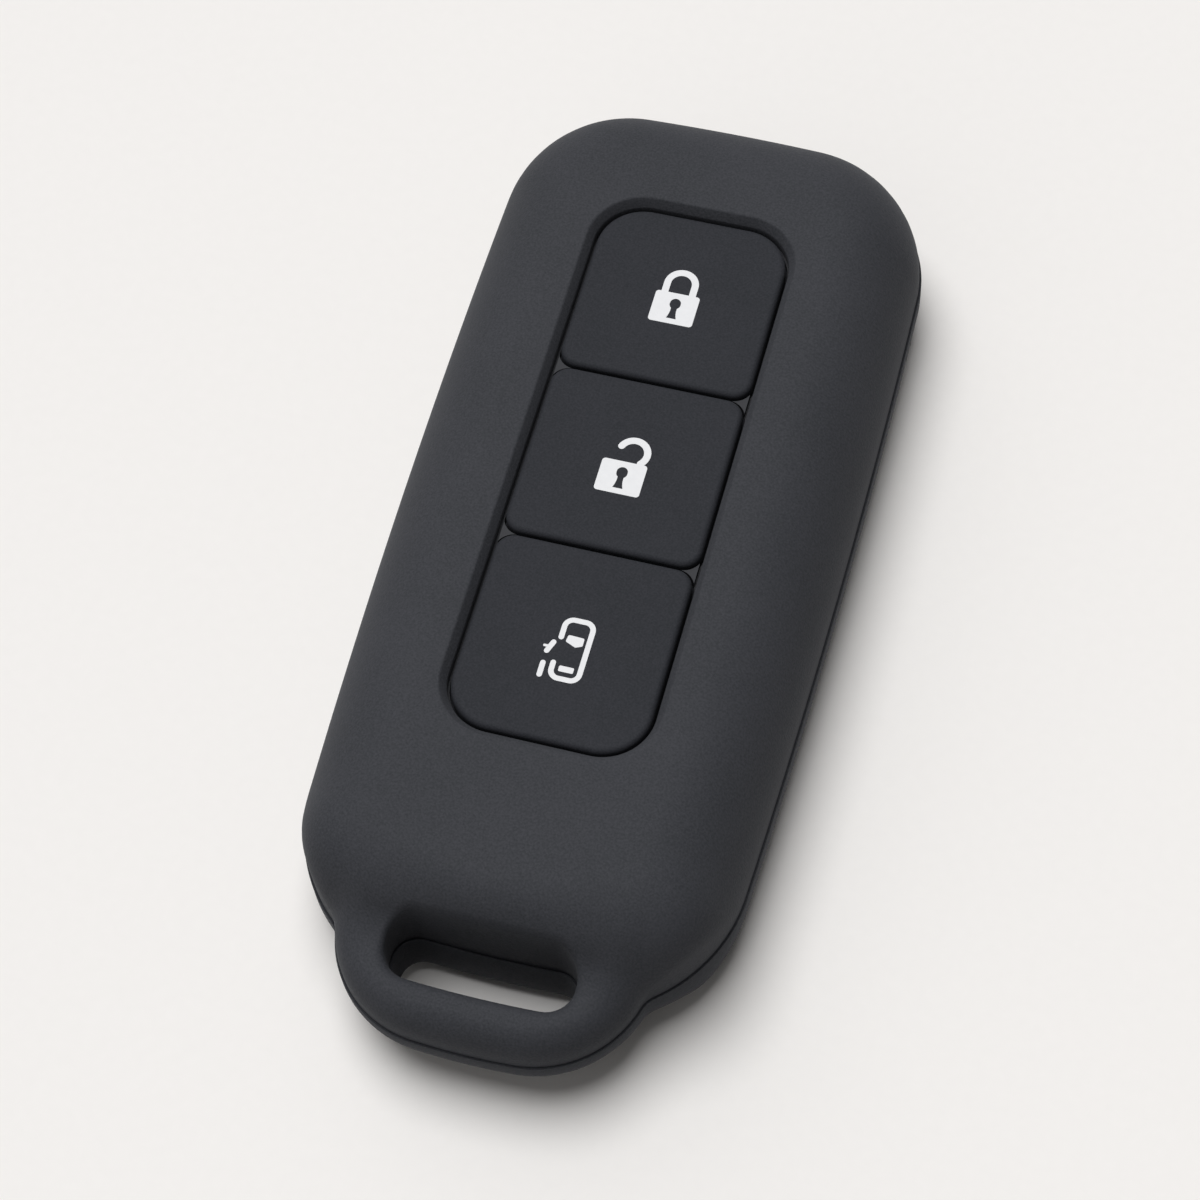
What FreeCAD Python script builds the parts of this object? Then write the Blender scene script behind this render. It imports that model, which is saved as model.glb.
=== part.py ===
import FreeCAD, Part
import math
import os
import re
import Sketcher
from FreeCAD import Placement, Rotation, Vector

# A hard cover for a car key fob: two moulded shells that meet at a seam, a strap loop at the lower end,
# and three push keys in one window. The fob lies in the hollow between the shells.
# X runs across the cover, +Y towards the end away from the loop, +Z up through the keys.
# The origin is under the middle of the cover, on the surface that it lies on.

SIZES = {
    # Plan of the shells
    "overall_length": 93.9,
    "body_width": 40.7,
    "side_radius": 900.0,
    "crown_setback": 33.2,
    "top_radius": 220.0,
    "corner_radius": 12.2,
    "shoulder_radius": 14.5,
    "shoulder_setback": 20.0,
    "neck_radius": 2.6,
    "loop_width": 27.6,
    "loop_corner_radius": 10.0,
    "nose_radius": 62.0,
    # Heights of the shells and of the loop, from the seam
    "seam_height": 7.0,
    "front_height": 9.75,
    "loop_front_height": 4.2,
    "loop_rear_height": 5.0,
    # Slopes from the body to the loop, above and below
    "slope_setback": 14.35,
    "slope_crest_radius": 6.2,
    "slope_dish_radius": 3.0,
    "under_setback": 14.4,
    "under_crest_radius": 5.0,
    "under_dish_radius": 5.0,
    # Rounded edges
    "top_edge_radius": 8.8,
    "neck_edge_radius": 3.0,
    "loop_edge_radius": 2.4,
    "under_edge_radius": 4.0,
    "neck_under_radius": 2.6,
    "loop_under_radius": 3.0,
    # Strap slot
    "bar_width": 3.985,
    "slot_width": 5.05,
    "loop_side": 5.55,
    "slot_corner_radius": 2.4,
    "slot_ledge": 0.2,
    "mouth_radius": 0.8,
    # Hollow for the fob, and the lip that lines up the shells
    "wall": 1.8,
    "floor_thickness": 1.9,
    "roof_thickness": 1.9,
    "end_wall": 5.2,
    "hollow_end_radius": 8.0,
    "lip_thickness": 0.8,
    "lip_height": 1.2,
    "lip_clearance": 0.12,
    # Key window
    "window_side": 11.2,
    "window_top_setback": 13.73,
    "window_low_setback": 15.85,
    "bevel_width": 0.68,
    "bevel_depth": 0.75,
    # Keys
    "key_gap": 0.32,
    "split_gap": 0.32,
    "lock_key_share": 0.331,
    "door_key_share": 0.347,
    "key_outer_radius": 4.3,
    "key_inner_radius": 1.6,
    "key_edge_radius": 0.6,
    "key_recess": 0.65,
    "flange_width": 0.7,
    "flange_thickness": 0.8,
    "stop_gap": 0.1,
    "key_travel": 0.8,
    # Mat, frame and stakes behind the window
    "mat_thickness": 0.6,
    "mat_border": 1.7,
    "mat_clearance": 0.17,
    "web_depth": 0.6,
    "frame_thickness": 1.0,
    "frame_wall": 1.75,
    "frame_margin": 1.6,
    "frame_end": 4.2,
    "frame_corner_radius": 3.0,
    "stake_inset": 6.4,
    "stake_radius": 1.0,
    "stake_clearance": 0.12,
    "stake_head_radius": 1.7,
    "stake_head_height": 0.6,
    # Posts and return domes
    "post_radius": 2.0,
    "post_clearance": 0.4,
    "post_reach": 0.3,
    "dome_reserve": 0.35,
    "dome_clearance": 0.15,
    "dome_wall": 0.5,
    "dome_flare": 1.6,
    # Pictograms
    "inlay_depth": 0.3,
    "lock_mark_rise": 0.18,
    "unlock_mark_drop": 0.14,
    "door_mark_drop": 0.56,
    "padlock_width": 4.1,
    "padlock_height": 3.3,
    "padlock_corner_radius": 0.3,
    "shackle_radius": 1.28,
    "shackle_stroke": 0.64,
    "shackle_rise": 1.0,
    "open_shift": 0.43,
    "keyhole_radius": 0.5,
    "keyhole_rise": 2.15,
    "keyhole_neck": 0.55,
    "keyhole_foot": 0.92,
    "keyhole_low": 0.55,
    "car_width": 2.5,
    "car_length": 5.7,
    "car_corner_radius": 0.75,
    "car_stroke": 0.48,
    "car_shift": 0.5,
    "doorway_length": 2.5,
    "doorway_low": 1.38,
    "seat_length": 1.32,
    "seat_width": 0.55,
    "seat_rise": 0.95,
    "screen_width": 1.2,
    "screen_depth": 0.72,
    "screen_low": 3.33,
    "screen_round": 0.16,
    "panel_gap": 0.85,
    "panel_length": 1.15,
    "arrow_gap": 0.5,
    "arrow_rise": 2.33,
    "arrow_length": 0.92,
    # Cuts run past the faces that they open by this much
    "overrun": 2.0,
}

PLACES = {
    "top_end": "overall_length / 2",
    "nose_end": "-overall_length / 2",
    "crown": "top_end - crown_setback",
    "shoulder": "nose_end + shoulder_setback",
    "tip_reach": "(loop_width / 2 - loop_corner_radius) * nose_radius / (nose_radius - loop_corner_radius)",
    "nose_sag": "nose_radius - sqrt(nose_radius ^ 2 - tip_reach ^ 2)",
    "slot_near": "nose_end + nose_sag + bar_width",
    "slot_far": "slot_near + slot_width",
    "slot_length": "loop_width - 2 * loop_side",
    "slope_start": "nose_end + slope_setback",
    "under_start": "nose_end + under_setback",
    "hollow_end": "slot_far + end_wall",
    "rim_top": "seam_height + front_height",
    "loop_top": "seam_height + loop_front_height",
    "loop_low": "seam_height - loop_rear_height",
    "roof_under": "rim_top - roof_thickness",
    "window_width": "body_width - 2 * window_side",
    "window_low": "slot_far + window_low_setback",
    "window_top": "top_end - window_top_setback",
    "bevel_low": "rim_top - bevel_depth",
    "key_room": "window_top - window_low - 2 * key_gap - 2 * split_gap",
    "lock_high": "window_top - key_gap",
    "lock_low": "lock_high - lock_key_share * key_room",
    "unlock_high": "lock_low - split_gap",
    "door_low": "window_low + key_gap",
    "door_high": "door_low + door_key_share * key_room",
    "unlock_low": "door_high + split_gap",
    "lock_middle": "(lock_low + lock_high) / 2",
    "unlock_middle": "(unlock_low + unlock_high) / 2",
    "door_middle": "(door_low + door_high) / 2",
    "key_width": "window_width - 2 * key_gap",
    "key_top": "rim_top - key_recess",
    "inlay_low": "key_top - inlay_depth",
    "web_top": "key_top - web_depth",
    "lock_mark": "lock_middle + lock_mark_rise",
    "unlock_mark": "unlock_middle - unlock_mark_drop",
    "door_mark": "door_middle - door_mark_drop",
    "mat_low": "roof_under - mat_thickness",
    "flange_top": "mat_low - stop_gap",
    "key_low": "flange_top - flange_thickness",
    "frame_top": "key_low - key_travel - dome_reserve",
    "frame_low": "frame_top - frame_thickness",
    "post_low": "frame_low - post_reach",
    "frame_width": "window_width + 2 * (frame_margin + frame_wall)",
    "stake_low": "frame_low - stake_head_height",
    "stake_reach": "frame_width / 2 - stake_inset",
    "stake_far": "window_top + frame_margin + frame_end / 2",
    "stake_near": "window_low - frame_margin - frame_end / 2",
}

KEYS = ("lock", "unlock", "door")

doc = FreeCAD.newDocument("key_fob_cover")
sheet = doc.addObject("Spreadsheet::Sheet", "Sizes")
places = doc.addObject("Spreadsheet::Sheet", "Places")


def full(formula):
    """The formula with each name led by the sheet that holds it."""
    def lead(match):
        name = match.group()
        if name in SIZES:
            return f"Sizes.{name}"
        return f"Places.{name}" if name in PLACES else name
    return re.sub(r"[a-z_]+", lead, formula)


for row, (name, size) in enumerate(SIZES.items(), start=1):
    sheet.set(f"A{row}", name)
    sheet.set(f"B{row}", str(size))
    sheet.setAlias(f"B{row}", name)
doc.recompute()
for row, (name, formula) in enumerate(PLACES.items(), start=1):
    places.set(f"A{row}", name)
    places.setAlias(f"B{row}", name)
    places.set(f"B{row}", "=" + full(formula).replace("Places.", ""))
doc.recompute()


def worth(formula):
    """The number that a formula of sheet names comes to."""
    return float(sheet.evalExpression(full(formula)))


def bind(thing, field, formula):
    thing.setExpression(field, full(formula))


def new_sketch(body, name, height=None, plane="XY_Plane"):
    sketch = body.newObject("Sketcher::SketchObject", name)
    support = next(item for item in body.Origin.OriginFeatures if item.Role == plane)
    sketch.AttachmentSupport = [(support, "")]
    sketch.MapMode = "FlatFace"
    if height:
        bind(sketch, "AttachmentOffset.Base.z", height)
    return sketch


def dimension(sketch, formula, kind, *where):
    """A driving dimension whose value follows the sheets."""
    index = sketch.addConstraint(Sketcher.Constraint(kind, *where, worth(formula)))
    label = f"size_{index}"
    sketch.renameConstraint(index, label)
    bind(sketch, f"Constraints.{label}", formula)


START, END, CENTRE = range(1, 4)
ORIGIN, Y_AXIS = range(-1, -3, -1)


def across(sketch, formula, item, point):
    dimension(sketch, formula, "DistanceX", ORIGIN, START, item, point)


def along(sketch, formula, item, point):
    dimension(sketch, formula, "DistanceY", ORIGIN, START, item, point)


def join(sketch, kind, *where):
    sketch.addConstraint(Sketcher.Constraint(kind, *where))


def arc_of(centre, radius, start_angle, end_angle):
    circle = Part.Circle(Vector(*centre, 0), Vector(0, 0, 1), radius)
    return Part.ArcOfCircle(circle, start_angle, end_angle)


def line_of(start, end):
    return Part.LineSegment(Vector(*start, 0), Vector(*end, 0))


def bearing(centre, point):
    return math.atan2(point[1] - centre[1], point[0] - centre[0])


def meeting(first, first_reach, second, second_reach):
    """Both points that lie at the given reaches from two centres."""
    gap = math.dist(first, second)
    run = (first_reach ** 2 - second_reach ** 2 + gap ** 2) / (2 * gap)
    rise = math.sqrt(first_reach ** 2 - run ** 2)
    ux, uy = (second[0] - first[0]) / gap, (second[1] - first[1]) / gap
    foot = (first[0] + run * ux, first[1] + run * uy)
    return [(foot[0] - side * rise * uy, foot[1] + side * rise * ux) for side in (1, -1)]


def upper(points):
    return max(points, key=lambda point: point[1])


def outer(points):
    return max(points, key=lambda point: point[0])


def mirrored(arc):
    """The arc on the other side of the Y axis."""
    centre = (-arc.Center.x, arc.Center.y)
    return arc_of(centre, arc.Radius, math.pi - arc.LastParameter, math.pi - arc.FirstParameter)


def draw_sided(sketch, top, right_side, bottom):
    """Adds a closed outline: the top item, the right side downwards, the bottom item and the left side."""
    left_side = [mirrored(arc) for arc in right_side]
    sketch.addGeometry([top, *right_side, bottom, *reversed(left_side)])
    count = len(right_side)
    right = list(range(1, count + 1))
    left = list(range(2 * count + 1, count + 1, -1))
    for own, twin in zip(right, left):
        join(sketch, "Equal", own, twin)
    return right, count + 1, left


def shell_outline(sketch):
    """Plan of the shells: a barrel-sided body with round corners, shoulders, hollow necks and a loop nose."""
    top = (0, worth("top_end - top_radius"))
    side = (worth("body_width / 2 - side_radius"), worth("crown"))
    corner_reach = worth("top_radius - corner_radius")
    corner = upper(meeting(top, corner_reach, side, worth("side_radius - corner_radius")))
    shoulder_y = worth("shoulder")
    reach = math.sqrt(worth("side_radius - shoulder_radius") ** 2 - (shoulder_y - side[1]) ** 2)
    shoulder = (side[0] + reach, shoulder_y)
    nose = (0, worth("nose_end + nose_radius"))
    tip_x = worth("loop_width / 2 - loop_corner_radius")
    tip_drop = math.sqrt(worth("nose_radius - loop_corner_radius") ** 2 - tip_x ** 2)
    tip = (tip_x, nose[1] - tip_drop)
    neck_reaches = worth("shoulder_radius + neck_radius"), worth("loop_corner_radius + neck_radius")
    neck = outer(meeting(shoulder, neck_reaches[0], tip, neck_reaches[1]))

    top_turn = bearing(top, corner)
    tip_turn = bearing(nose, tip)
    right_side = [
        arc_of(corner, worth("corner_radius"), bearing(side, corner), top_turn),
        arc_of(side, worth("side_radius"), bearing(side, shoulder), bearing(side, corner)),
        arc_of(shoulder, worth("shoulder_radius"), bearing(shoulder, neck), bearing(side, shoulder)),
        arc_of(neck, worth("neck_radius"), bearing(neck, shoulder), bearing(neck, tip) % math.tau),
        arc_of(tip, worth("loop_corner_radius"), tip_turn, bearing(tip, neck)),
    ]
    top_arc = arc_of(top, worth("top_radius"), top_turn, math.pi - top_turn)
    nose_arc = arc_of(nose, worth("nose_radius"), -math.pi - tip_turn, tip_turn)
    right, nose_item, left = draw_sided(sketch, top_arc, right_side, nose_arc)

    ends = [(END, START), (END, START), (END, START), (START, END), (END, START)]
    previous, previous_left, leaving = 0, 0, (START, END)
    for item, twin, (entry, exit_end) in zip(right, left, ends):
        join(sketch, "Tangent", previous, leaving[0], item, entry)
        join(sketch, "Tangent", previous_left, leaving[1], twin, exit_end)
        previous, previous_left, leaving = item, twin, (exit_end, entry)
    join(sketch, "Tangent", previous, leaving[0], nose_item, END)
    join(sketch, "Tangent", previous_left, leaving[1], nose_item, START)

    corner_item, side_item, shoulder_item, neck_item, tip_item = right
    radii = {0: "top_radius", corner_item: "corner_radius", side_item: "side_radius",
             shoulder_item: "shoulder_radius", neck_item: "neck_radius",
             tip_item: "loop_corner_radius", nose_item: "nose_radius"}
    for item, formula in radii.items():
        dimension(sketch, formula, "Radius", item)
    for item in (0, nose_item):
        join(sketch, "PointOnObject", item, CENTRE, Y_AXIS)
    along(sketch, "top_end - top_radius", 0, CENTRE)
    along(sketch, "nose_end + nose_radius", nose_item, CENTRE)
    across(sketch, "body_width / 2 - side_radius", side_item, CENTRE)
    along(sketch, "crown", side_item, CENTRE)
    join(sketch, "Symmetric", side_item, CENTRE, left[1], CENTRE, Y_AXIS)
    along(sketch, "shoulder", shoulder_item, CENTRE)
    along(sketch, "shoulder", left[2], CENTRE)
    across(sketch, "loop_width / 2 - loop_corner_radius", tip_item, CENTRE)
    across(sketch, "loop_corner_radius - loop_width / 2", left[4], CENTRE)


def hollow_outline(sketch, growth):
    """Plan of the hollow inside the walls, or of a line that stands the given growth outside it."""
    top_formula = f"top_radius - wall + {growth}"
    corner_formula = f"corner_radius - wall + {growth}"
    side_formula = f"side_radius - wall + {growth}"
    end_formula = f"hollow_end_radius + {growth}"
    low_formula = f"hollow_end - ({growth})"

    top = (0, worth("top_end - top_radius"))
    side = (worth("body_width / 2 - side_radius"), worth("crown"))
    corner_reach = worth("top_radius - corner_radius")
    corner = upper(meeting(top, corner_reach, side, worth("side_radius - corner_radius")))
    end_y = worth(low_formula) + worth(end_formula)
    reach = math.sqrt((worth(side_formula) - worth(end_formula)) ** 2 - (end_y - side[1]) ** 2)
    end = (side[0] + reach, end_y)

    top_turn = bearing(top, corner)
    right_side = [
        arc_of(corner, worth(corner_formula), bearing(side, corner), top_turn),
        arc_of(side, worth(side_formula), bearing(side, end), bearing(side, corner)),
        arc_of(end, worth(end_formula), -math.pi / 2, bearing(side, end)),
    ]
    top_arc = arc_of(top, worth(top_formula), top_turn, math.pi - top_turn)
    low_line = line_of((end[0], worth(low_formula)), (-end[0], worth(low_formula)))
    right, low_item, left = draw_sided(sketch, top_arc, right_side, low_line)

    previous, previous_left, leaving = 0, 0, (START, END)
    for item, twin in zip(right, left):
        join(sketch, "Tangent", previous, leaving[0], item, END)
        join(sketch, "Tangent", previous_left, leaving[1], twin, START)
        previous, previous_left, leaving = item, twin, (START, END)
    join(sketch, "Tangent", previous, START, low_item, START)
    join(sketch, "Tangent", previous_left, END, low_item, END)

    corner_item, side_item, end_item = right
    radii = {0: top_formula, corner_item: corner_formula, side_item: side_formula, end_item: end_formula}
    for item, formula in radii.items():
        dimension(sketch, formula, "Radius", item)
    join(sketch, "PointOnObject", 0, CENTRE, Y_AXIS)
    along(sketch, "top_end - top_radius", 0, CENTRE)
    across(sketch, "body_width / 2 - side_radius", side_item, CENTRE)
    along(sketch, "crown", side_item, CENTRE)
    join(sketch, "Symmetric", side_item, CENTRE, left[1], CENTRE, Y_AXIS)
    join(sketch, "Horizontal", low_item)
    along(sketch, low_formula, low_item, START)


def rounded_rectangle(sketch, width, low, high, low_radius, high_radius):
    """A rectangle centred on the Y axis, with one corner radius at its low end and one at its high end."""
    half, low_y, high_y = worth(width) / 2, worth(low), worth(high)
    low_r, high_r = worth(low_radius), worth(high_radius)
    first = sketch.GeometryCount
    quarter = math.pi / 2
    sketch.addGeometry([
        line_of((low_r - half, low_y), (half - low_r, low_y)),
        arc_of((half - low_r, low_y + low_r), low_r, -quarter, 0),
        line_of((half, low_y + low_r), (half, high_y - high_r)),
        arc_of((half - high_r, high_y - high_r), high_r, 0, quarter),
        line_of((half - high_r, high_y), (high_r - half, high_y)),
        arc_of((high_r - half, high_y - high_r), high_r, quarter, 2 * quarter),
        line_of((-half, high_y - high_r), (-half, low_y + low_r)),
        arc_of((low_r - half, low_y + low_r), low_r, 2 * quarter, 3 * quarter),
    ])
    bottom, low_right, right, high_right, top, high_left, left, low_left = range(first, first + 8)
    loop = [bottom, low_right, right, high_right, top, high_left, left, low_left]
    for item, following in zip(loop, loop[1:] + loop[:1]):
        join(sketch, "Tangent", item, END, following, START)
    for item in (bottom, top):
        join(sketch, "Horizontal", item)
    for item in (left, right):
        join(sketch, "Vertical", item)
    join(sketch, "Equal", low_right, low_left)
    join(sketch, "Equal", high_right, high_left)
    dimension(sketch, low_radius, "Radius", low_right)
    dimension(sketch, high_radius, "Radius", high_right)
    along(sketch, low, bottom, START)
    along(sketch, high, top, START)
    across(sketch, f"({width}) / 2", right, START)
    across(sketch, f"-({width}) / 2", left, START)


def slope_profile(sketch, start, level, end_level, crest_radius, dish_radius, away):
    """Side view of what is cut off towards the loop: a round crest, then a dish that ends level with it.
    The level and the end level are heights, and away is the height past which the cut reaches."""
    start_y, level_z, end_z = worth(start), worth(level), worth(end_level)
    sign = 1 if level_z > end_z else -1
    crest_r, dish_r = worth(crest_radius), worth(dish_radius)
    turn = math.acos(1 - abs(level_z - end_z) / (crest_r + dish_r))
    crest = (start_y, level_z - sign * crest_r)
    dish = (start_y - (crest_r + dish_r) * math.sin(turn), end_z + sign * dish_r)
    past_y, away_z = worth("nose_end - overrun"), worth(away)
    upright = sign * math.pi / 2
    crest_angles = sorted((upright, upright + sign * turn))
    dish_angles = sorted((-upright, sign * turn - upright))
    sketch.addGeometry([
        arc_of(crest, crest_r, *crest_angles),
        arc_of(dish, dish_r, *dish_angles),
        line_of((dish[0], end_z), (past_y, end_z)),
        line_of((past_y, end_z), (past_y, away_z)),
        line_of((past_y, away_z), (start_y, away_z)),
        line_of((start_y, away_z), (start_y, level_z)),
    ])
    near, far = (START, END) if sign > 0 else (END, START)
    join(sketch, "Tangent", 0, far, 1, far)
    join(sketch, "Tangent", 1, near, 2, START)
    for item in (2, 3, 4):
        join(sketch, "Coincident", item, END, item + 1, START)
    join(sketch, "Coincident", 5, END, 0, near)
    for item in (2, 4):
        join(sketch, "Horizontal", item)
    for item in (3, 5):
        join(sketch, "Vertical", item)
    join(sketch, "Vertical", 0, near, 0, CENTRE)
    dimension(sketch, crest_radius, "Radius", 0)
    dimension(sketch, dish_radius, "Radius", 1)
    across(sketch, start, 0, CENTRE)
    along(sketch, level, 0, near)
    along(sketch, end_level, 2, END)
    across(sketch, "nose_end - overrun", 3, END)
    along(sketch, away, 4, END)


def add_pad(body, sketch, length, downwards=False):
    pad = body.newObject("PartDesign::Pad", f"{sketch.Name}_pad")
    pad.Profile = sketch
    pad.Reversed = downwards
    bind(pad, "Length", length)
    return pad


def add_pocket(body, sketch, depth, upwards=False):
    pocket = body.newObject("PartDesign::Pocket", f"{sketch.Name}_pocket")
    pocket.Profile = sketch
    pocket.Reversed = upwards
    bind(pocket, "Length", depth)
    return pocket


def prism(name, draw, low, high, *arguments):
    """A body with one outline, drawn by a function, between two heights."""
    body = doc.addObject("PartDesign::Body", name)
    sketch = new_sketch(body, f"{name}_plan", low)
    draw(sketch, *arguments)
    add_pad(body, sketch, f"{high} - ({low})")
    return body


def side_cutter(name, *arguments):
    """A body that takes away one slope, across the whole width."""
    body = doc.addObject("PartDesign::Body", name)
    sketch = new_sketch(body, f"{name}_profile", "-body_width / 2 - overrun", "YZ_Plane")
    slope_profile(sketch, *arguments)
    add_pad(body, sketch, "body_width + 2 * overrun")
    return body


def edge_names(shape, wanted):
    return [f"Edge{index}" for index, edge in enumerate(shape.Edges, start=1) if wanted(edge)]


def round_edges(body, name, radius, wanted):
    """Rounds the edges of a body that pass a test."""
    doc.recompute()
    base = body.Tip
    fillet = body.newObject("PartDesign::Fillet", name)
    fillet.Base = (base, edge_names(base.Shape, wanted))
    bind(fillet, "Radius", radius)


def at_height(height):
    """A test for the edges that lie level at one height."""
    level, slack = worth(height), worth("overrun") / 1000
    return lambda edge: all(abs(z - level) < slack for z in (edge.BoundBox.ZMin, edge.BoundBox.ZMax))


def new_cut(name, base, tool):
    cut = doc.addObject("Part::Cut", name)
    cut.Base = base
    cut.Tool = tool
    return cut


def new_fuse(name, *members):
    fuse = doc.addObject("Part::MultiFuse", name)
    fuse.Shapes = list(members)
    return fuse


def is_upright(face):
    u_low, u_high, v_low, v_high = face.ParameterRange
    normal = face.normalAt((u_low + u_high) / 2, (v_low + v_high) / 2)
    return abs(normal.z) < math.sin(math.radians(1))


def rim_edges(shape, wanted):
    """Numbers of the edges where an upright wall meets a face that isn't upright."""
    numbers = []
    for index, edge in enumerate(shape.Edges, start=1):
        faces = shape.ancestorsOfType(edge, Part.Face)
        if sum(is_upright(face) for face in faces) == 1 and wanted(edge):
            numbers.append(index)
    return numbers


def varied_rounding(name, base, body_radius, neck_radius, loop_radius, start, wanted):
    """Rounds a rim with a radius that falls from the body, past the neck, to the loop."""
    doc.recompute()
    stations = [(worth(start), worth(body_radius)), (worth("slot_far"), worth(neck_radius)),
                (worth("slot_near"), worth(loop_radius))]

    def radius_at(y):
        if y >= stations[0][0]:
            return stations[0][1]
        for (high_y, high_r), (low_y, low_r) in zip(stations, stations[1:]):
            if y >= low_y:
                return low_r + (high_r - low_r) * (y - low_y) / (high_y - low_y)
        return stations[-1][1]

    rounding = doc.addObject("Part::Fillet", name)
    rounding.Base = base
    edges, slack = base.Shape.Edges, worth("overrun") / 1000
    waiting = {}
    for index in rim_edges(base.Shape, wanted):
        edge = edges[index - 1]
        waiting[index] = [edge.valueAt(edge.FirstParameter), edge.valueAt(edge.LastParameter)]
    spot = next(iter(waiting.values()))[0]
    rows = []
    while waiting:
        index = next(number for number, ends in waiting.items()
                     if any(end.isEqual(spot, slack) for end in ends))
        ends = waiting.pop(index)
        leaving = ends[1] if ends[0].isEqual(spot, slack) else ends[0]
        rows.append((index, radius_at(spot.y), radius_at(leaving.y)))
        spot = leaving
    rounding.Edges = sorted(rows)
    return rounding


def strap_slot(name, ledge):
    """The hole through the loop, made narrower all round by a ledge."""
    return prism(name, rounded_rectangle, "-overrun", "rim_top + overrun",
                 f"slot_length - 2 * ({ledge})", f"slot_near + {ledge}", f"slot_far - ({ledge})",
                 f"slot_corner_radius - ({ledge})", f"slot_corner_radius - ({ledge})")


def fob_hollow():
    """The room for the fob, from the floor of the rear shell to the roof of the front shell."""
    body = prism("fob_hollow", hollow_outline, "floor_thickness", "roof_under", "0 * wall")
    round_edges(body, "hollow_roof_edge", "top_edge_radius - wall", at_height("roof_under"))
    round_edges(body, "hollow_floor_edge", "under_edge_radius - wall", at_height("floor_thickness"))
    return body


def key_window():
    """The window through the roof, with a bevel that opens upwards."""
    radius = "key_outer_radius + key_gap"
    body = prism("key_window", rounded_rectangle, "roof_under - overrun", "rim_top + overrun",
                 "window_width", "window_low", "window_top", radius, radius)
    growths = {"bevel_low": "0 * bevel_width",
               "rim_top + overrun": "bevel_width * (1 + overrun / bevel_depth)"}
    rings = []
    for number, (height, growth) in enumerate(growths.items()):
        ring = new_sketch(body, f"bevel_ring_{number}", height)
        rounded_rectangle(ring, f"window_width + 2 * ({growth})", f"window_low - ({growth})",
                          f"window_top + {growth}", f"{radius} + {growth}", f"{radius} + {growth}")
        rings.append(ring)
    loft = body.newObject("PartDesign::AdditiveLoft", "bevel")
    loft.Profile = rings[0]
    loft.Sections = rings[1:]
    loft.Ruled = True
    return body


def stake(name, side, place):
    """A stake under the roof with its melted head, which holds the frame."""
    pieces = []
    for part, radius, low, high in (("stem", "stake_radius", "stake_low", "roof_under"),
                                    ("head", "stake_head_radius", "stake_low", "frame_low")):
        cylinder = doc.addObject("Part::Cylinder", f"{name}_{part}")
        bind(cylinder, "Radius", radius)
        bind(cylinder, "Height", f"{high} - {low}")
        bind(cylinder, "Placement.Base.x", f"{side} * stake_reach")
        bind(cylinder, "Placement.Base.y", place)
        bind(cylinder, "Placement.Base.z", low)
        pieces.append(cylinder)
    return pieces


def front_shell(hollow):
    block = prism("front_block", shell_outline, "seam_height", "rim_top")
    slope = side_cutter("front_slope", "slope_start", "rim_top", "loop_top",
                        "slope_crest_radius", "slope_dish_radius", "rim_top + overrun")
    sloped = new_cut("front_sloped", block, slope)
    seam = worth("seam_height")
    rounded = varied_rounding("front_rounded", sloped, "top_edge_radius", "neck_edge_radius",
                              "loop_edge_radius", "shoulder", lambda edge: edge.BoundBox.ZMin > seam)
    slotted = new_cut("front_slotted", rounded, strap_slot("front_slot", "0 * slot_ledge"))
    doc.recompute()
    mouth = doc.addObject("Part::Fillet", "front_mouth")
    mouth.Base = slotted
    reach, near, far = worth("slot_length / 2"), worth("slot_near"), worth("slot_far")
    slack = worth("overrun") / 1000

    def in_slot(edge):
        box = edge.BoundBox
        sides = max(abs(box.XMin), abs(box.XMax)) <= reach + slack
        return sides and box.YMin >= near - slack and box.YMax <= far + slack and box.ZMin > seam

    radius = worth("mouth_radius")
    mouth.Edges = [(index, radius, radius) for index in rim_edges(slotted.Shape, in_slot)]
    rebate = prism("lip_rebate", hollow_outline, "seam_height - overrun",
                   "seam_height + lip_height + lip_clearance", "lip_thickness + lip_clearance")
    opened = new_cut("front_opened", mouth, new_fuse("front_openings", hollow, rebate, key_window()))
    stakes = []
    for side, hand in ((1, "right"), (-1, "left")):
        for place in ("stake_far", "stake_near"):
            stakes += stake(f"{place}_{hand}", side, place)
    return new_fuse("front_shell", opened, *stakes)


def rear_shell(hollow):
    block = prism("rear_block", shell_outline, "0 * seam_height", "seam_height")
    slope = side_cutter("rear_slope", "under_start", "0 * seam_height", "loop_low",
                        "under_crest_radius", "under_dish_radius", "-overrun")
    sloped = new_cut("rear_sloped", block, slope)
    seam = worth("seam_height")
    rounded = varied_rounding("rear_rounded", sloped, "under_edge_radius", "neck_under_radius",
                              "loop_under_radius", "under_start", lambda edge: edge.BoundBox.ZMax < seam)
    lip = prism("rear_lip", hollow_outline, "seam_height - lip_height", "seam_height + lip_height",
                "lip_thickness")
    solid = new_fuse("rear_solid", rounded, lip)
    openings = new_fuse("rear_openings", hollow, strap_slot("rear_slot", "slot_ledge"))
    return new_cut("rear_shell", solid, openings)


def key_plan(key, growth, end_growth):
    """Width, ends and corner radii of a key, grown at its sides and at the end that meets the window."""
    outer_radius = f"key_outer_radius + {growth}"
    low, high = f"{key}_low", f"{key}_high"
    low_radius = high_radius = "key_inner_radius"
    if key == "lock":
        high, high_radius = f"{high} + {end_growth}", outer_radius
    if key == "door":
        low, low_radius = f"{low} - ({end_growth})", outer_radius
    return f"key_width + 2 * ({growth})", low, high, low_radius, high_radius


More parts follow.
